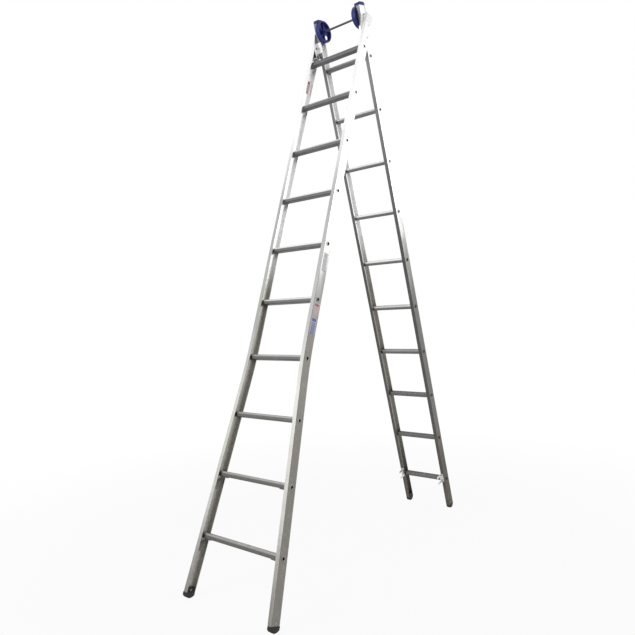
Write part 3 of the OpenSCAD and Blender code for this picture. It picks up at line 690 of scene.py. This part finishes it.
def soften(obj, width):
    """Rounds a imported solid's sharp corners with modifiers, and leaves its mesh as it is."""
    weld = obj.modifiers.new("weld", "WELD")
    weld.merge_threshold = MERGE
    bevel = obj.modifiers.new("soft corners", "BEVEL")
    bevel.width = width
    bevel.segments = 2
    bevel.limit_method = "ANGLE"
    bevel.angle_limit = math.radians(35.0)


def dress_pair(stem, key, width=0.0):
    """Gives a left and a right solid their finish, and rounds their corners by width where it has one."""
    for side in ("left", "right"):
        obj = dress(stem + side, key)
        if width:
            soften(obj, width)


# ---- settings ----

def tint(name, description, default):
    """A colour property."""
    return FloatVectorProperty(name=name, description=description, default=default, subtype="COLOR",
                               size=3, min=0.0, max=1.0)


def length(name, description, default):
    """A length property in metres."""
    return FloatProperty(name=name, description=description, default=default, unit="LENGTH", min=0.0)


def share(name, description, default):
    """A property between none and all."""
    return FloatProperty(name=name, description=description, default=default, subtype="FACTOR",
                         min=0.0, max=1.0)


def angle(name, description, degrees):
    """An angle property, given in degrees and kept in radians."""
    return FloatProperty(name=name, description=description, default=math.radians(degrees), subtype="ANGLE")


def power(name, description, default):
    """A lamp's power in watts."""
    return FloatProperty(name=name, description=description, default=default, unit="POWER", min=0.0)


class LadderFinish(bpy.types.PropertyGroup):
    """Colours and wear of the ladder's materials, and the light and shade painted into the aluminium's tones.
    """
    # Painted light and shade: the stile tones below are one mill aluminium. It is painted near-white at the
    # top as a highlight, then lighter or darker down the stiles and by which way a face looks, with the fly's
    # flanges darker and the inner faces brighter.
    mill_top_highlight: tint("Mill finish, top", "Bare aluminium near the top of the webs", (0.97, 0.97, 0.97))
    base_flange: tint("Base flange, middle", "Base flanges half way down", (0.42, 0.42, 0.41))
    base_flange_low: tint("Base flange, low", "Base flanges lower down", (0.66, 0.65, 0.61))
    base_end: tint("Base flange, end", "Base flanges at their lower ends", (0.27, 0.255, 0.23))
    base_web: tint("Base web, middle", "Base webs half way down", (0.33, 0.33, 0.315))
    base_web_low: tint("Base web, low", "Base webs lower down", (0.255, 0.24, 0.22))
    # Painted light: the inner faces are painted brighter than the outer webs.
    base_inside_lit: tint("Base web, inside", "Inner faces of the base webs lower down", (0.47, 0.455, 0.415))
    fly_inside_lit: tint("Fly web, inside", "Inner faces of the fly webs lower down", (0.54, 0.52, 0.48))
    fly_flange: tint("Fly flange, top", "Fly flanges near the top", (0.20, 0.20, 0.205))
    fly_flange_low: tint("Fly flange, low", "Fly flanges lower down", (0.105, 0.102, 0.10))
    fly_web_low: tint("Fly web, low", "Fly webs lower down", (0.185, 0.18, 0.17))
    fly_end: tint("Fly, end", "Fly stiles at their lower ends", (0.10, 0.085, 0.07))
    # Painted shade: the rungs' aluminium is painted dark.
    rung_shade_upper: tint("Base rungs, upper", "Aluminium of the base's upper rungs", (0.17, 0.175, 0.18))
    rung_shade_lower: tint("Base rungs, lower", "Aluminium of the base's lower rungs", (0.135, 0.13, 0.122))
    fly_rung_shade_upper: tint("Fly rungs, upper", "Aluminium of the fly's upper rungs", (0.17, 0.172, 0.175))
    fly_rung_shade_lower: tint("Fly rungs, lower", "Aluminium of the fly's lower rungs", (0.16, 0.155, 0.15))
    # Painted highlight on the rungs' upper parts, bright and dimmer.
    tread_highlight: tint("Treads", "Upper parts of the rungs where they are worn bright", (0.86, 0.86, 0.85))
    tread_highlight_dim: tint("Treads, dull", "Upper parts of the rungs that are worn less", (0.40, 0.40, 0.395))
    # Dark tone of the oxide in the grain, also used for the painted shade under the rungs and for the dark
    # line along the stiles' webs.
    dark_oxide_and_shade: tint("Grime", "Dark oxide in the corners and the grain", (0.075, 0.075, 0.08))
    rivet: tint("Rivets", "Aluminium of the rivets", (0.30, 0.295, 0.28))
    zinc: tint("Zinc plate", "Brackets, bolts and spacers", (0.84, 0.84, 0.83))
    zinc_bright: tint("Bright zinc", "Guides and hooks", (0.82, 0.82, 0.81))
    brace_steel: tint("Brace steel", "The curved braces", (0.16, 0.16, 0.155))
    dark_steel: tint("Dull steel", "Tie rod, nuts and stop pins", (0.085, 0.087, 0.095))
    head_blue: tint("Head blue", "Plastic of the heads", (0.032, 0.042, 0.25))
    rubber: tint("Rubber", "Rubber of the feet", (0.022, 0.022, 0.023))
    label_field: tint("Label field", "Ground of the labels", (0.80, 0.80, 0.80))
    label_red: tint("Label red", "Heading band of the upper label", (0.66, 0.09, 0.11))
    label_pink: tint("Label pink", "Blocks of the upper label", (0.80, 0.46, 0.50))
    label_blue: tint("Label blue", "Blocks of the lower label", (0.10, 0.16, 0.52))
    label_grey: tint("Label grey", "Print of the small label", (0.62, 0.62, 0.63))
    grain: FloatProperty(name="Grain", description="Fineness of the drawn lines in the aluminium",
                         default=900.0, min=100.0, max=3000.0)
    wear: share("Edge wear", "How bright the rubbed corners are", 0.55)
    # How dark the painted shade under the rungs and the dark line along the stiles' webs are.
    dark_line_share: share("Grime", "How dark the corner lines are", 0.55)
    dust: share("Dust", "How dusty the lower ends are", 0.5)


class LadderDetail(bpy.types.PropertyGroup):
    """Sizes of the small shapes made here."""
    tread_pitch: length("Tread pitch", "Distance between the soles' grooves", 0.0062)
    tread_depth: length("Tread depth", "Depth of the soles' grooves", 0.0022)
    shoe_round: length("Shoe rounding", "Rounding of the shoes' side edges", 0.0025)
    lip_round: length("Rolled end", "Height of a rung's rolled end over the web", 0.0021)
    thread_pitch: length("Thread pitch", "Pitch of the pivot bolts' thread", 0.00125)
    label_w: length("Label width", "Width of the labels on the stile", 0.036)
    label_t: length("Label thickness", "Thickness of the labels", 0.0002)
    corner: length("Corner rounding", "Rounding of the solids' sharp corners", 0.0005)
    turn_steps: IntProperty(name="Turning steps", description="Facets round each turned piece", default=32,
                            min=12, max=96)


class LadderStage(bpy.types.PropertyGroup):
    """Camera, lamps and floor."""
    eye: FloatVectorProperty(name="Camera", description="Where the camera stands", subtype="XYZ",
                             unit="LENGTH", default=(1.916, -2.5459, 1.2393))
    azimuth: angle("Azimuth", "Direction the camera looks in, round the ladder", 39.22)
    elevation: angle("Elevation", "Height of the camera's angle over the horizon", 0.14)
    roll: angle("Roll", "Turn of the camera round its own axis", -2.29)
    lens: FloatProperty(name="Lens", description="Focal length of the camera in millimetres", default=33.82,
                        subtype="DISTANCE_CAMERA")
    key: power("Key lamp", "Power of the large soft lamp", 70.0)
    fill: power("Fill lamp", "Power of the lamp on the other side", 40.0)
    sky: FloatProperty(name="Surroundings", description="Level of the even light from all round",
                       default=0.35, min=0.0, max=2.0)
    floor_r: length("Floor radius", "Radius of the floor disc", 9.0)
    shade: share("Floor shading", "How much of the shadow the floor shows", 0.08)


# ---- operators ----

class LADDER_OT_stiles(bpy.types.Operator):
    """Finish the four stiles in drawn mill aluminium"""
    bl_idname = "ladder.stiles"
    bl_label = "Dress stiles"

    def execute(self, context):
        dress_pair("base_stile_", "base_stile_mill")
        dress_pair("fly_stile_", "fly_stile_mill")
        return {"FINISHED"}


class LADDER_OT_rungs(bpy.types.Operator):
    """Finish the twenty rungs and give their ends a rolled bead outside the webs"""
    bl_idname = "ladder.rungs"
    bl_label = "Dress rungs"

    def execute(self, context):
        detail = context.scene.ladder_detail
        high = detail.lip_round
        mid, thick = (LIP_R + BORE_R) / 2, (LIP_R + LIP_T - BORE_R) / 2
        over = np.linspace(0.15, math.pi - 0.1, 10)
        profile = [(-BEAD_H, LIP_R), (0.0, LIP_R + LIP_T),
                   *[(high * math.sin(t), mid + thick * math.cos(t)) for t in over],
                   (-WEB_IN, BORE_R - 0.0002), (-WEB_IN, BORE_R), (-BEAD_H, LIP_R)]
        bead = turned(profile, detail.turn_steps)
        for body, place in (("base", on_base), ("fly", on_fly)):
            rings = []
            for k in range(RUNGS):
                dress(f"{body}_rung_{k + 1}", body + "_rung_mill")
                s = k * RUNG_PITCH
                ring = on_web(bead, s) if body == "base" else bead + [FLY_HALF, 0, -s]
                rings += [place(mirrored(ring, side)) for side in (-1, 1)]
            piece(body + "_rolled_ends", rings, finish_for(body + "_stile_mill"), body)
        return {"FINISHED"}


class LADDER_OT_braces(bpy.types.Operator):
    """Finish the four curved braces"""
    bl_idname = "ladder.braces"
    bl_label = "Dress braces"

    def execute(self, context):
        dress_pair("brace_9_", "brace_steel")
        dress_pair("brace_10_", "brace_steel")
        return {"FINISHED"}


def dome(seat, crown, edge, radius, angles):
    """A head's profile above its straight edge: x = seat + edge + (crown - edge) sin t, r = radius cos t."""
    return [(seat + edge + (crown - edge) * math.sin(t), radius * math.cos(t)) for t in angles]


def rivet_grid(points, steps):
    """A rivet over its solid: a domed head, a shank, and a rounded set end. Its radii and its crown are
    shares of the head's radius."""
    middle, axis, half, radius = fastening(points)
    crown, shank, tail = 0.40 * radius, 0.55 * radius, 0.71 * radius
    seat = half - crown
    profile = [(-half, 0.0), (-half, tail * 0.55), (-half + HEAD_EDGE, tail * 0.9), (-half + SET_H, tail),
               (-half + SET_H, shank), (seat, shank), (seat, radius * 0.97), (seat + HEAD_EDGE, radius)]
    profile += dome(seat, crown, HEAD_EDGE, radius, np.linspace(0.15, math.pi / 2, 9))
    return aimed(turned(profile, steps), middle, axis)


class LADDER_OT_rivets(bpy.types.Operator):
    """Build the domed rivets of the feet, braces, brackets and hooks over their solids"""
    bl_idname = "ladder.rivets"
    bl_label = "Build rivets"

    def execute(self, context):
        steps = context.scene.ladder_detail.turn_steps
        rows = (("brace_rivets", "base", "zinc_steel"), ("base_foot_rivets", "base", "rivet_aluminium"),
                ("head_bracket_rivets", "base", "zinc_steel"), ("hook_rivets", "fly", "zinc_steel"),
                ("fly_foot_rivets", "fly", "rivet_aluminium"))
        for node, body, slot in rows:
            found = clusters(corners_of(node), RIVET_REACH)
            made = piece(node.replace("rivets", "domed_rivets"), [rivet_grid(p, steps) for p in found],
                         finish_for("rivet_bright"), body)
            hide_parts(node)
        return {"FINISHED"}


def bolt_grid(points, steps, pitch):
    """A dome-headed bolt. Its thread is a ridge that climbs one pitch a turn: the radius falls and
    rises with the distance to the nearest turn, |frac(x / pitch - a / 2 pi) - 1/2|."""
    middle, axis, half, radius = fastening(points)
    x = np.linspace(-half, -half + THREAD_L, 105)
    turn = np.abs((x[:, None] / pitch - full_turn(steps) / (2 * np.pi)) % 1.0 - 0.5)
    taper = np.clip((x - x[0]) / 0.001, 0, 1)[:, None]
    thread = around(x, BOLT_R * (0.82 + 0.06 * taper) + BOLT_R * 0.12 * 2 * turn * taper, steps)
    end = np.zeros((1, steps, 3)) + [x[0], 0, 0]
    seat = half - BOLT_CROWN
    profile = [(x[-1] + BOLT_EDGE, BOLT_R), (seat, BOLT_R), (seat, radius * 0.98), (seat + BOLT_EDGE, radius)]
    profile += dome(seat, BOLT_CROWN, BOLT_EDGE, radius, np.linspace(0.12, math.pi / 2, 10))
    return aimed(np.concatenate([end, thread, turned(profile, steps)]), middle, axis)


def nut_grid(points, bore):
    """A hexagon nut: r = w / (2 cos a), with a from the middle of each flat, cut back by a cone at both
    faces, and a plain bore."""
    middle, axis, half, radius = fastening(points)
    steps = 96
    flat = radius * math.cos(math.pi / 6)
    hexagon = flat / np.cos((full_turn(steps) + math.pi / 6) % (math.pi / 3) - math.pi / 6)
    x = np.array([-half, NUT_EDGE - half, NUT_CORNER - half, half - NUT_CORNER, half - NUT_EDGE, half])
    cone = flat * 0.96 + NUT_CUT * np.array([0.0, 0.6, 1.6, 1.6, 0.6, 0.0])
    outer = around(x, np.minimum(hexagon, cone[:, None]), steps)
    inner = turned([(half, bore + NUT_FLARE), (half - NUT_EDGE, bore), (NUT_EDGE - half, bore),
                    (-half, bore + NUT_FLARE), (-half, flat * 0.96)], steps)
    return aimed(np.concatenate([outer, inner]), middle, axis)


class LADDER_OT_pivots(bpy.types.Operator):
    """Build the threaded pivot bolts and their nuts, and finish the spacers and the stop pins"""
    bl_idname = "ladder.pivots"
    bl_label = "Build pivots"

    def execute(self, context):
        detail = context.scene.ladder_detail
        found = clusters(corners_of("pivot_bolts"), PIVOT_REACH)
        bolts = [bolt_grid(p, detail.turn_steps, detail.thread_pitch) for p in found]
        zinc = finish_for("zinc_plate")
        made = piece("pivot_bolts_threaded", bolts, zinc, "base", smooth=50.0)
        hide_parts("pivot_bolts")
        nuts = [nut_grid(p, NUT_BORE) for p in clusters(corners_of("pivot_nuts"), PIVOT_REACH)]
        made = piece("pivot_nuts_hexagon", nuts, finish_for("dull_steel"), "base", smooth=25.0)
        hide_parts("pivot_nuts")
        dress("pivot_spacers", "zinc_plate")
        dress("stop_pins", "dull_steel")
        return {"FINISHED"}


class LADDER_OT_brackets(bpy.types.Operator):
    """Finish the head brackets and the guides"""
    bl_idname = "ladder.brackets"
    bl_label = "Dress brackets and guides"

    def execute(self, context):
        corner = context.scene.ladder_detail.corner
        dress_pair("head_bracket_", "zinc_plate", corner)
        dress_pair("guide_", "zinc_bright", corner)
        return {"FINISHED"}


class LADDER_OT_heads(bpy.types.Operator):
    """Finish the two moulded heads and the rod between them"""
    bl_idname = "ladder.heads"
    bl_label = "Dress heads"

    def execute(self, context):
        dress_pair("head_", "head_plastic_blue", 1.6 * context.scene.ladder_detail.corner)
        dress("tie_rod", "dull_steel")
        return {"FINISHED"}


class LADDER_OT_hooks(bpy.types.Operator):
    """Finish the hooks"""
    bl_idname = "ladder.hooks"
    bl_label = "Dress hooks"

    def execute(self, context):
        dress_pair("hook_", "zinc_bright", context.scene.ladder_detail.corner)
        return {"FINISHED"}


def sole_outline(radius, half_depth, centre, top, detail):
    """The closed outline of a shoe in (y, z) at one place across it: a flat top, two sides, and below an
    arc of that radius whose grooves are cut by a rounded square wave along the arc."""
    wide = math.asin(min(half_depth / radius, 1.0))
    a = np.linspace(wide, -wide, 181)
    wave = np.cos(2 * np.pi * a * radius / detail.tread_pitch)
    groove = 1 / (1 + np.exp(9 * (wave - 0.15)))
    fade = np.clip((wide - np.abs(a)) * radius / 0.003, 0, 1)
    r = radius - detail.tread_depth * groove * fade
    arc = np.stack([r * np.sin(a), centre - r * np.cos(a)], axis=-1)
    low = arc[0, 1]
    rise = np.linspace(0, 1, 7)[1:]
    left = np.stack([np.full(6, -half_depth), low + (top - low) * rise], axis=-1)
    across = np.linspace(-half_depth, half_depth, 13)[1:-1]
    over = np.stack([across, np.full(11, top)], axis=-1)
    right = left[::-1] * [-1, 1]
    return np.concatenate([arc, left, over, right])


def shoe_grid(radius, half_depth, centre, top_at, x0, x1, detail):
    """A shoe: its outline carried across from x0 to x1, drawn in round the middle near both ends by
    d = e - sqrt(e^2 - (e - x)^2), with e the edge's rounding, and closed by a point at each end."""
    edge = detail.shoe_round
    near = edge * (1 - np.cos(np.linspace(0, np.pi / 2, 6)))
    stations = np.concatenate([x0 + near, np.linspace(x0 + edge, x1 - edge, 6)[1:-1], (x1 - near)[::-1]])
    rows = []
    for x in stations:
        outline = sole_outline(radius, half_depth, centre, top_at(x), detail)
        inset = max(edge - min(x - x0, x1 - x), 0.0)
        draw = edge - math.sqrt(max(edge ** 2 - inset ** 2, 0.0))
        middle = np.array([0.0, (outline[:, 1].min() + top_at(x)) / 2])
        pulled = middle + (outline - middle) * (1 - draw / half_depth)
        rows.append(np.column_stack([np.full(len(pulled), x), pulled]))
    first, last = rows[0].mean(axis=0), rows[-1].mean(axis=0)
    ends = [np.tile(point, (len(rows[0]), 1)) for point in (first, last)]
    return np.stack([ends[0], *rows, ends[1]])


def rounded_box(a, power):
    """A square with rounded corners round the origin: (y, z) = (|cos a|^n, |sin a|^n) with their signs."""
    c, s = np.cos(a), np.sin(a)
    return np.stack([np.sign(c) * np.abs(c) ** power, np.sign(s) * np.abs(s) ** power], axis=-1)


def plug_grid(height):
    """The ribbed plug inside the channel: a rounded rectangle carried up the stile, drawn in by a
    rounded square wave so that it grips in rings."""
    steps = 64
    wide = (FLANGE_W - EDGE_W - WEB_IN) / 2
    box = rounded_box(full_turn(steps), power=0.18) * [wide, FLANGE_IN]
    z = np.linspace(-PLUG_LAP, height, 60)
    wave = 1 / (1 + np.exp(-8 * (np.sin(2 * np.pi * z / PLUG_PITCH) - 0.2)))
    draw = PLUG_RIB * wave
    draw[-1] = PLUG_RIB
    scale = 1 - draw[:, None, None] / np.array([wide, FLANGE_IN])
    flat = box[None] * scale
    x = flat[..., 0] - WEB_IN / 2 - (FLANGE_W - EDGE_W) / 2
    rows = np.stack([x, flat[..., 1], np.repeat(z[:, None], steps, 1)], axis=-1)
    low, high = (np.zeros((1, steps, 3)) + row.mean(axis=0) for row in (rows[0], rows[-1]))
    return np.concatenate([low, rows, high])


def stood(points):
    """Points of a shoe in the row frame, pressed flat where they would go through the floor."""
    pressed = points.copy()
    pressed[..., 2] = np.maximum(pressed[..., 2], 0.0)
    return pressed


class LADDER_OT_feet(bpy.types.Operator):
    """Build the four treaded rubber shoes and their ribbed plugs"""
    bl_idname = "ladder.feet"
    bl_label = "Build feet"

    def execute(self, context):
        detail = context.scene.ladder_detail
        rubber = finish_for("sole_rubber")
        out = web_x(BASE_END)
        base_shoe = shoe_grid(SOLE_R, SOLE_D / 2, SOLE_R - BASE_END - SOLE_H,
                              lambda x: -BASE_END + (x - out) * math.tan(FLARE) - SHOE_GAP,
                              out - FLANGE_W - SOLE_LAP, web_x(BASE_END + SOLE_H) + SOLE_LAP, detail)
        fly_shoe = shoe_grid(FLY_SOLE_R, FLY_SOLE_R * 0.9999, -FLY_END, lambda x: -FLY_END - SHOE_GAP,
                             FLY_HALF - FLANGE_W - SOLE_LAP, FLY_HALF + SOLE_LAP, detail)
        base_plug = on_web(plug_grid(PLUG_H), BASE_END)
        fly_plug = plug_grid(PLUG_H) + [FLY_HALF, 0, -FLY_END]
        rows = (("base", base_shoe, base_plug, on_base), ("fly", fly_shoe, fly_plug, on_fly))
        for body, shoe, plug, place in rows:
            for side, word in ((-1, "left"), (1, "right")):
                grids = [stood(place(mirrored(shoe, side)))]
                made = piece(f"{body}_shoe_{word}", grids, rubber, body, smooth=35.0)
                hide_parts(f"{body}_foot_{word}")
                piece(f"{body}_plug_{word}", [place(mirrored(plug, side))], rubber, body)
        return {"FINISHED"}


def label_grid(wide, tall, lift):
    """A label as rings inside a rounded box, q of its size for q from 0 to 1, and a corner that lifts off
    with the eighth power of its nearness."""
    flat = rounded_box(full_turn(96), power=0.14)[None] * np.linspace(0, 1, 13)[:, None, None]
    near = np.clip((flat[..., 0] + flat[..., 1]) / 2, 0, 1)
    rise = lift * near ** 8
    grid = np.stack([rise, flat[..., 0] * wide / 2, flat[..., 1] * tall / 2], axis=-1)
    return grid, flat / 2 + 0.5


class LADDER_OT_labels(bpy.types.Operator):
    """Stick the plain printed labels on the stiles"""
    bl_idname = "ladder.labels"
    bl_label = "Add labels"

    def execute(self, context):
        detail = context.scene.ladder_detail
        face = BASE_HALF - BEAD_H
        # name, finish, side, face, distance below the top rung, height, width
        rows = (("label_upper", "label_red", 1, face, 1.450, 0.064, detail.label_w),
                ("label_lower", "label_blue", 1, face, 1.527, 0.080, detail.label_w),
                ("label_small", "label_plain", 1, face, 1.215, 0.090, 0.8 * detail.label_w),
                ("label_inside", "label_red", -1, BASE_HALF - WEB_IN, 0.135, 0.080, 0.8 * detail.label_w))
        for name, key, side, x, s, tall, wide in rows:
            grid, uv = label_grid(wide, tall, LABEL_LIFT)
            outward = -1 if name == "label_inside" else 1
            grid = grid * [outward, 1, 1] + [x + outward * LABEL_GAP, 0, -s]
            stuck = [on_base(mirrored(grid, side))]
            made = piece(name, stuck, finish_for(key), "base", uv=uv)
            thick = made.modifiers.new("thickness", "SOLIDIFY")
            thick.thickness = detail.label_t
            thick.offset = 0.0
        return {"FINISHED"}


class LADDER_OT_stage(bpy.types.Operator):
    """Set the camera, the soft lamps, the pale floor and the surroundings"""
    bl_idname = "ladder.stage"
    bl_label = "Set stage"

    def execute(self, context):
        stage = context.scene.ladder_stage
        context.scene.view_settings.view_transform = "Standard"
        self.camera(context, stage)
        self.lamps(context, stage)
        self.floor(context, stage)
        self.surroundings(context, stage)
        return {"FINISHED"}

    def camera(self, context, stage):
        """The camera looks along its azimuth and elevation, turned by its roll."""
        az, el = stage.azimuth, stage.elevation
        look = Vector((-math.sin(az) * math.cos(el), math.cos(az) * math.cos(el), -math.sin(el)))
        level = Vector((math.cos(az), math.sin(az), 0.0))
        high = level.cross(look)
        right = math.cos(stage.roll) * level + math.sin(stage.roll) * high
        up = -math.sin(stage.roll) * level + math.cos(stage.roll) * high
        data = bpy.data.cameras.new("camera")
        data.lens = stage.lens
        camera = bpy.data.objects.new("camera", data)
        turn = Matrix((right, up, -look)).transposed().to_4x4()
        camera.matrix_world = Matrix.Translation(stage.eye) @ turn
        context.scene.collection.objects.link(camera)
        context.scene.camera = camera

    def lamps(self, context, stage):
        """Two large square lamps that look at the middle of the ladder."""
        middle = (CAD_BOX[0] + CAD_BOX[1]) / 2
        # name, power, place, side length
        rows = (("key_lamp", stage.key, (-0.9, -4.2, 3.4), 2.6),
                ("fill_lamp", stage.fill, (2.9, 2.6, 2.6), 2.2))
        for name, power, place, size in rows:
            data = bpy.data.lights.new(name, "AREA")
            data.energy = power
            data.size = size
            lamp = bpy.data.objects.new(name, data)
            lamp.location = place
            lamp.rotation_euler = (middle - Vector(place)).to_track_quat("-Z", "Y").to_euler()
            context.scene.collection.objects.link(lamp)

    def floor(self, context, stage):
        """A disc round the ladder: rings of radius floor_r t^2. The camera sees it almost white, with
        a trace of the shadow near the ladder and none at its rim."""
        rings, spokes = 24, 96
        a = full_turn(spokes)
        r = stage.floor_r * np.linspace(0, 1, rings)[:, None] ** 2
        grid = np.stack([r * np.cos(a), r * np.sin(a), np.zeros((rings, spokes)) - FLOOR_DROP], axis=-1)
        mesh = bpy.data.meshes.new("floor")
        mesh.from_pydata(grid.reshape(-1, 3), [], quads(rings, spokes, True)[:, ::-1])
        obj = bpy.data.objects.new("floor", mesh)
        context.scene.collection.objects.link(obj)
        material = bpy.data.materials.new("floor_white")
        tree = empty_tree(material)
        away = add(tree, "ShaderNodeVectorMath", {0: object_place(tree)}, operation="LENGTH").outputs["Value"]
        plain = maths(tree, "SUBTRACT", 1.0, ramp(tree, away, *SHADE_SPAN, stage.shade, 0.0))
        matt = add(tree, "ShaderNodeBsdfDiffuse", {"Color": FLOOR_PALE}).outputs[0]
        white = add(tree, "ShaderNodeEmission", {"Color": WHITE, "Strength": 1.0}).outputs[0]
        both = add(tree, "ShaderNodeMixShader", {0: times(tree, seen_ray(tree), plain), 1: matt, 2: white})
        add(tree, "ShaderNodeOutputMaterial", {"Surface": both.outputs[0]})
        mesh.materials.append(material)

    def surroundings(self, context, stage):
        """White to the camera and in reflections, and an even pale light on everything else."""
        world = bpy.data.worlds.new("surroundings")
        tree = empty_tree(world)
        level = ramp(tree, seen_ray(tree), 0.0, 1.0, stage.sky, 1.0)
        light = add(tree, "ShaderNodeBackground", {"Color": WHITE, "Strength": level})
        add(tree, "ShaderNodeOutputWorld", {"Surface": light.outputs[0]})
        context.scene.world = world


OPERATORS = (LADDER_OT_stage, LADDER_OT_stiles, LADDER_OT_rungs, LADDER_OT_braces, LADDER_OT_rivets,
             LADDER_OT_pivots, LADDER_OT_brackets, LADDER_OT_heads, LADDER_OT_hooks, LADDER_OT_feet,
             LADDER_OT_labels)
SETTINGS = {"ladder_finish": LadderFinish, "ladder_detail": LadderDetail, "ladder_stage": LadderStage}


class LADDER_PT_panel(bpy.types.Panel):
    """The ladder's settings and steps"""
    bl_idname = "LADDER_PT_panel"
    bl_label = "Ladder"
    bl_space_type = "VIEW_3D"
    bl_region_type = "UI"
    bl_category = "Ladder"

    def draw(self, context):
        for key, kind in SETTINGS.items():
            box = self.layout.box()
            box.label(text=key.replace("_", " ").capitalize())
            for name in kind.__annotations__:
                box.prop(getattr(context.scene, key), name)
        for operator in OPERATORS:
            self.layout.operator(operator.bl_idname)


CLASSES = (*SETTINGS.values(), *OPERATORS, LADDER_PT_panel)


def register():
    """Registers the classes and hangs the settings on the scene."""
    for kind in CLASSES:
        bpy.utils.register_class(kind)
    for key, kind in SETTINGS.items():
        setattr(bpy.types.Scene, key, PointerProperty(type=kind))


def unregister():
    """Takes back what register did."""
    for key in SETTINGS:
        delattr(bpy.types.Scene, key)
    for kind in reversed(CLASSES):
        bpy.utils.unregister_class(kind)


def main():
    """Runs every step in order."""
    register()
    for operator in OPERATORS:
        space, name = operator.bl_idname.split(".")
        getattr(getattr(bpy.ops, space), name)()


if __name__ == "__main__":
    main()
